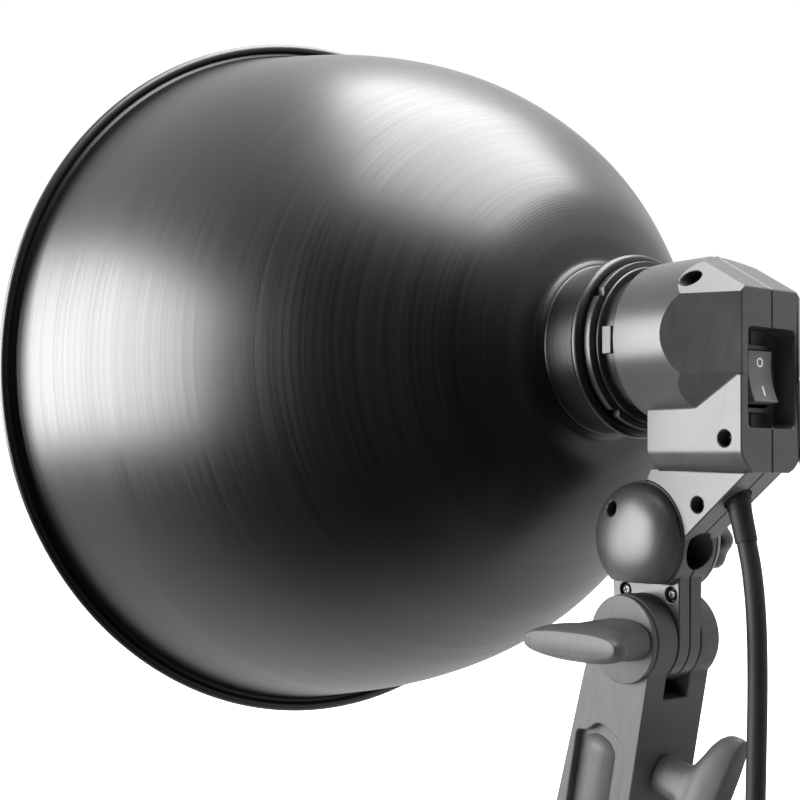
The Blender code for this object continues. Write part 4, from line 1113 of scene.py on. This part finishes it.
# ---- levers
def tee_sections(start, hub, depth, breadth):
    """Rings of a lever that grows from a flattened hub into a bar across its outer end.

    Each row of the spine is a height, two half widths and how square the ring is.
    """
    end = start + depth
    spine = ((start, breadth - 0.4, hub * 0.9, 2.4), (start + 0.5, breadth, hub * 0.95, 2.4),
             (start + 6.0, breadth, hub * 0.9, 2.6), (end - 14.0, breadth * 1.03, hub * 0.87, 2.6),
             (end - 12.0, max(breadth * 1.06, hub * 1.35), hub * 0.85, 2.5),
             (end - 10.2, max(breadth * 1.14, 13.4), hub * 0.85, 2.4), (end - 8.8, 16.8, 6.0, 2.4),
             (end - 7.4, 18.8, 6.0, 2.5), (end - 6.0, 20.0, 5.9, 2.6), (end - 4.4, 20.7, 5.6, 2.7),
             (end - 2.6, 20.9, 5.0, 2.8), (end - 1.2, 20.8, 4.4, 2.8), (end - 0.4, 20.5, 4.0, 2.8),
             (end - 0.1, 20.2, 3.75, 2.8), (end, 19.9, 3.5, 2.8))
    sections = []
    for height, a, b, power in spine:
        ring_points = []
        for t in angles(120):
            c, s = cos(t), sin(t)
            ring_points.append((height, a * math.copysign(abs(c) ** (2 / power), c),
                                b * math.copysign(abs(s) ** (2 / power), s)))
        sections.append(ring_points)
    return sections


def tee_lever(name, node_name, body, start, hub, depth, breadth, hole, place, turn):
    lever = loft(name, tee_sections(start, hub, depth, breadth), place)
    lever.data.transform(spin(turn, "X"))
    pocket = rod(name + "_pocket", 4.5, "X", start - 2, start + 7.5, place=place)
    bore = rod(name + "_hole", BOLT_HOLE, "X", start - 2, hole, place=place)
    cut(lever, pocket, bore)
    piece(settle(lever), body, "bracket_plastic", node_name)


def levers():
    tee_lever("tilt_tee", "tilt_lever", "tilt_lever", 16.4, 7.0, 23.1, 13.2, 31.0, BRACKET, LEVER_REST)
    insert = ring("tilt_nut", 4.2, BOLT_RADIUS + 0.3, "X", 16.6, 23.4, place=BRACKET)
    piece(insert, "tilt_lever", "brass", "tilt_lever_insert")
    rear = PIVOT.y + BRACKET_REAR
    tee_lever("stand_tee", "stand_lock_lever", "stand_lock", rear + 0.6, 6.4, 23.9, 6.4, rear + 12.0,
              LOCK @ AXIS_TURN["X"], 0)
    shank = [(-(rear + out), radius) for out, radius in (
        (11.5, 0), (11.5, BOLT_RADIUS), (7.6, BOLT_RADIUS), (7.6, 4.2), (0.8, 4.2), (0.8, BOLT_RADIUS))]
    shank += thread(-(rear + 0.4), -9.6, BOLT_RADIUS, 1.25, 0.45) + [(-8.4, 2.0), (-8.4, 0)]
    screw = turned("clamp_screw", shank, steps=64, place=LOCK)
    piece(screw, "stand_lock", "plated_steel", "stand_lock_screw")


# ---- studio
KEY_LIGHT = (122.0, -1.0, 2.0, 1.7, 1.4, 16.0)
TOP_LIGHT = (-138.0, 80.0, 1.7, 1.3, 1.95, 11.5)
DARK_SIDE = (46.0, -10.0)
AIM = Vector((0, 0, 0.12))
FLOOR_HALF, FLOOR_DROP = 6.0, 0.32


def softbox(name, azimuth, elevation, distance, width, height, radiance):
    data = bpy.data.lights.new(name, "AREA")
    data.shape = "RECTANGLE"
    data.size, data.size_y = width, height
    data.energy = math.pi * radiance * width * height
    way = direction(azimuth, elevation)
    place = Matrix.Translation(way * distance + AIM)
    tool(name, data, place @ facing(-way), scene.collection)


def studio_world():
    """A white room that falls to black round the side the camera stands on."""
    world = bpy.data.worlds.new("studio")
    scene.world = world
    world.use_nodes = True
    tree = world.node_tree
    background = tree.nodes["Background"]
    towards = node(tree, "VectorMath", {0: node(tree, "TexCoord").outputs["Generated"],
                                        1: direction(*DARK_SIDE)}, operation="DOT_PRODUCT")
    room = node(tree, "MapRange", {"Value": towards.outputs["Value"], "From Min": 0.7, "From Max": -0.05,
                                   "To Min": 0.004, "To Max": 1.1}, interpolation_type="SMOOTHSTEP")
    seen = node(tree, "LightPath").outputs["Is Camera Ray"]
    strength = mixed(tree, seen, room.outputs["Result"], 1.0, "FLOAT", "VALUE")
    feed(tree, background.inputs["Strength"], strength)
    background.inputs["Color"].default_value = grey(1)


def floor():
    work = bmesh.new()
    bmesh.ops.create_grid(work, x_segments=8, y_segments=8, size=FLOOR_HALF)
    place = Matrix.Translation((0, 0, cad_box[0][2] - FLOOR_DROP))
    obj = tool("floor", to_mesh("floor", work), place, scene.collection)
    material, tree, shader, where = blank("floor_white", Roughness=0.8, Emission_Color=grey(1),
                                          Emission_Strength=0.75)
    feed(tree, shader.inputs["Base Color"], mixed(tree, noise(tree, where, 3.0), grey(0.8), grey(0.84)))
    obj.data.materials.append(material)
    obj.visible_glossy = False


def studio():
    scene.view_settings.view_transform = "Standard"
    softbox("key_softbox", *KEY_LIGHT)
    softbox("top_softbox", *TOP_LIGHT)
    studio_world()
    floor()


for build in (camera, cord, reflector, ring_stack, lamp_socket, bulb, housing_halves, fasteners, switch,
              wiring, umbrella_lock, bracket, tilt_clamp, levers, studio):
    build()
for leftover in list(tools.objects):
    bpy.data.objects.remove(leftover, do_unlink=True)
bpy.data.collections.remove(tools)
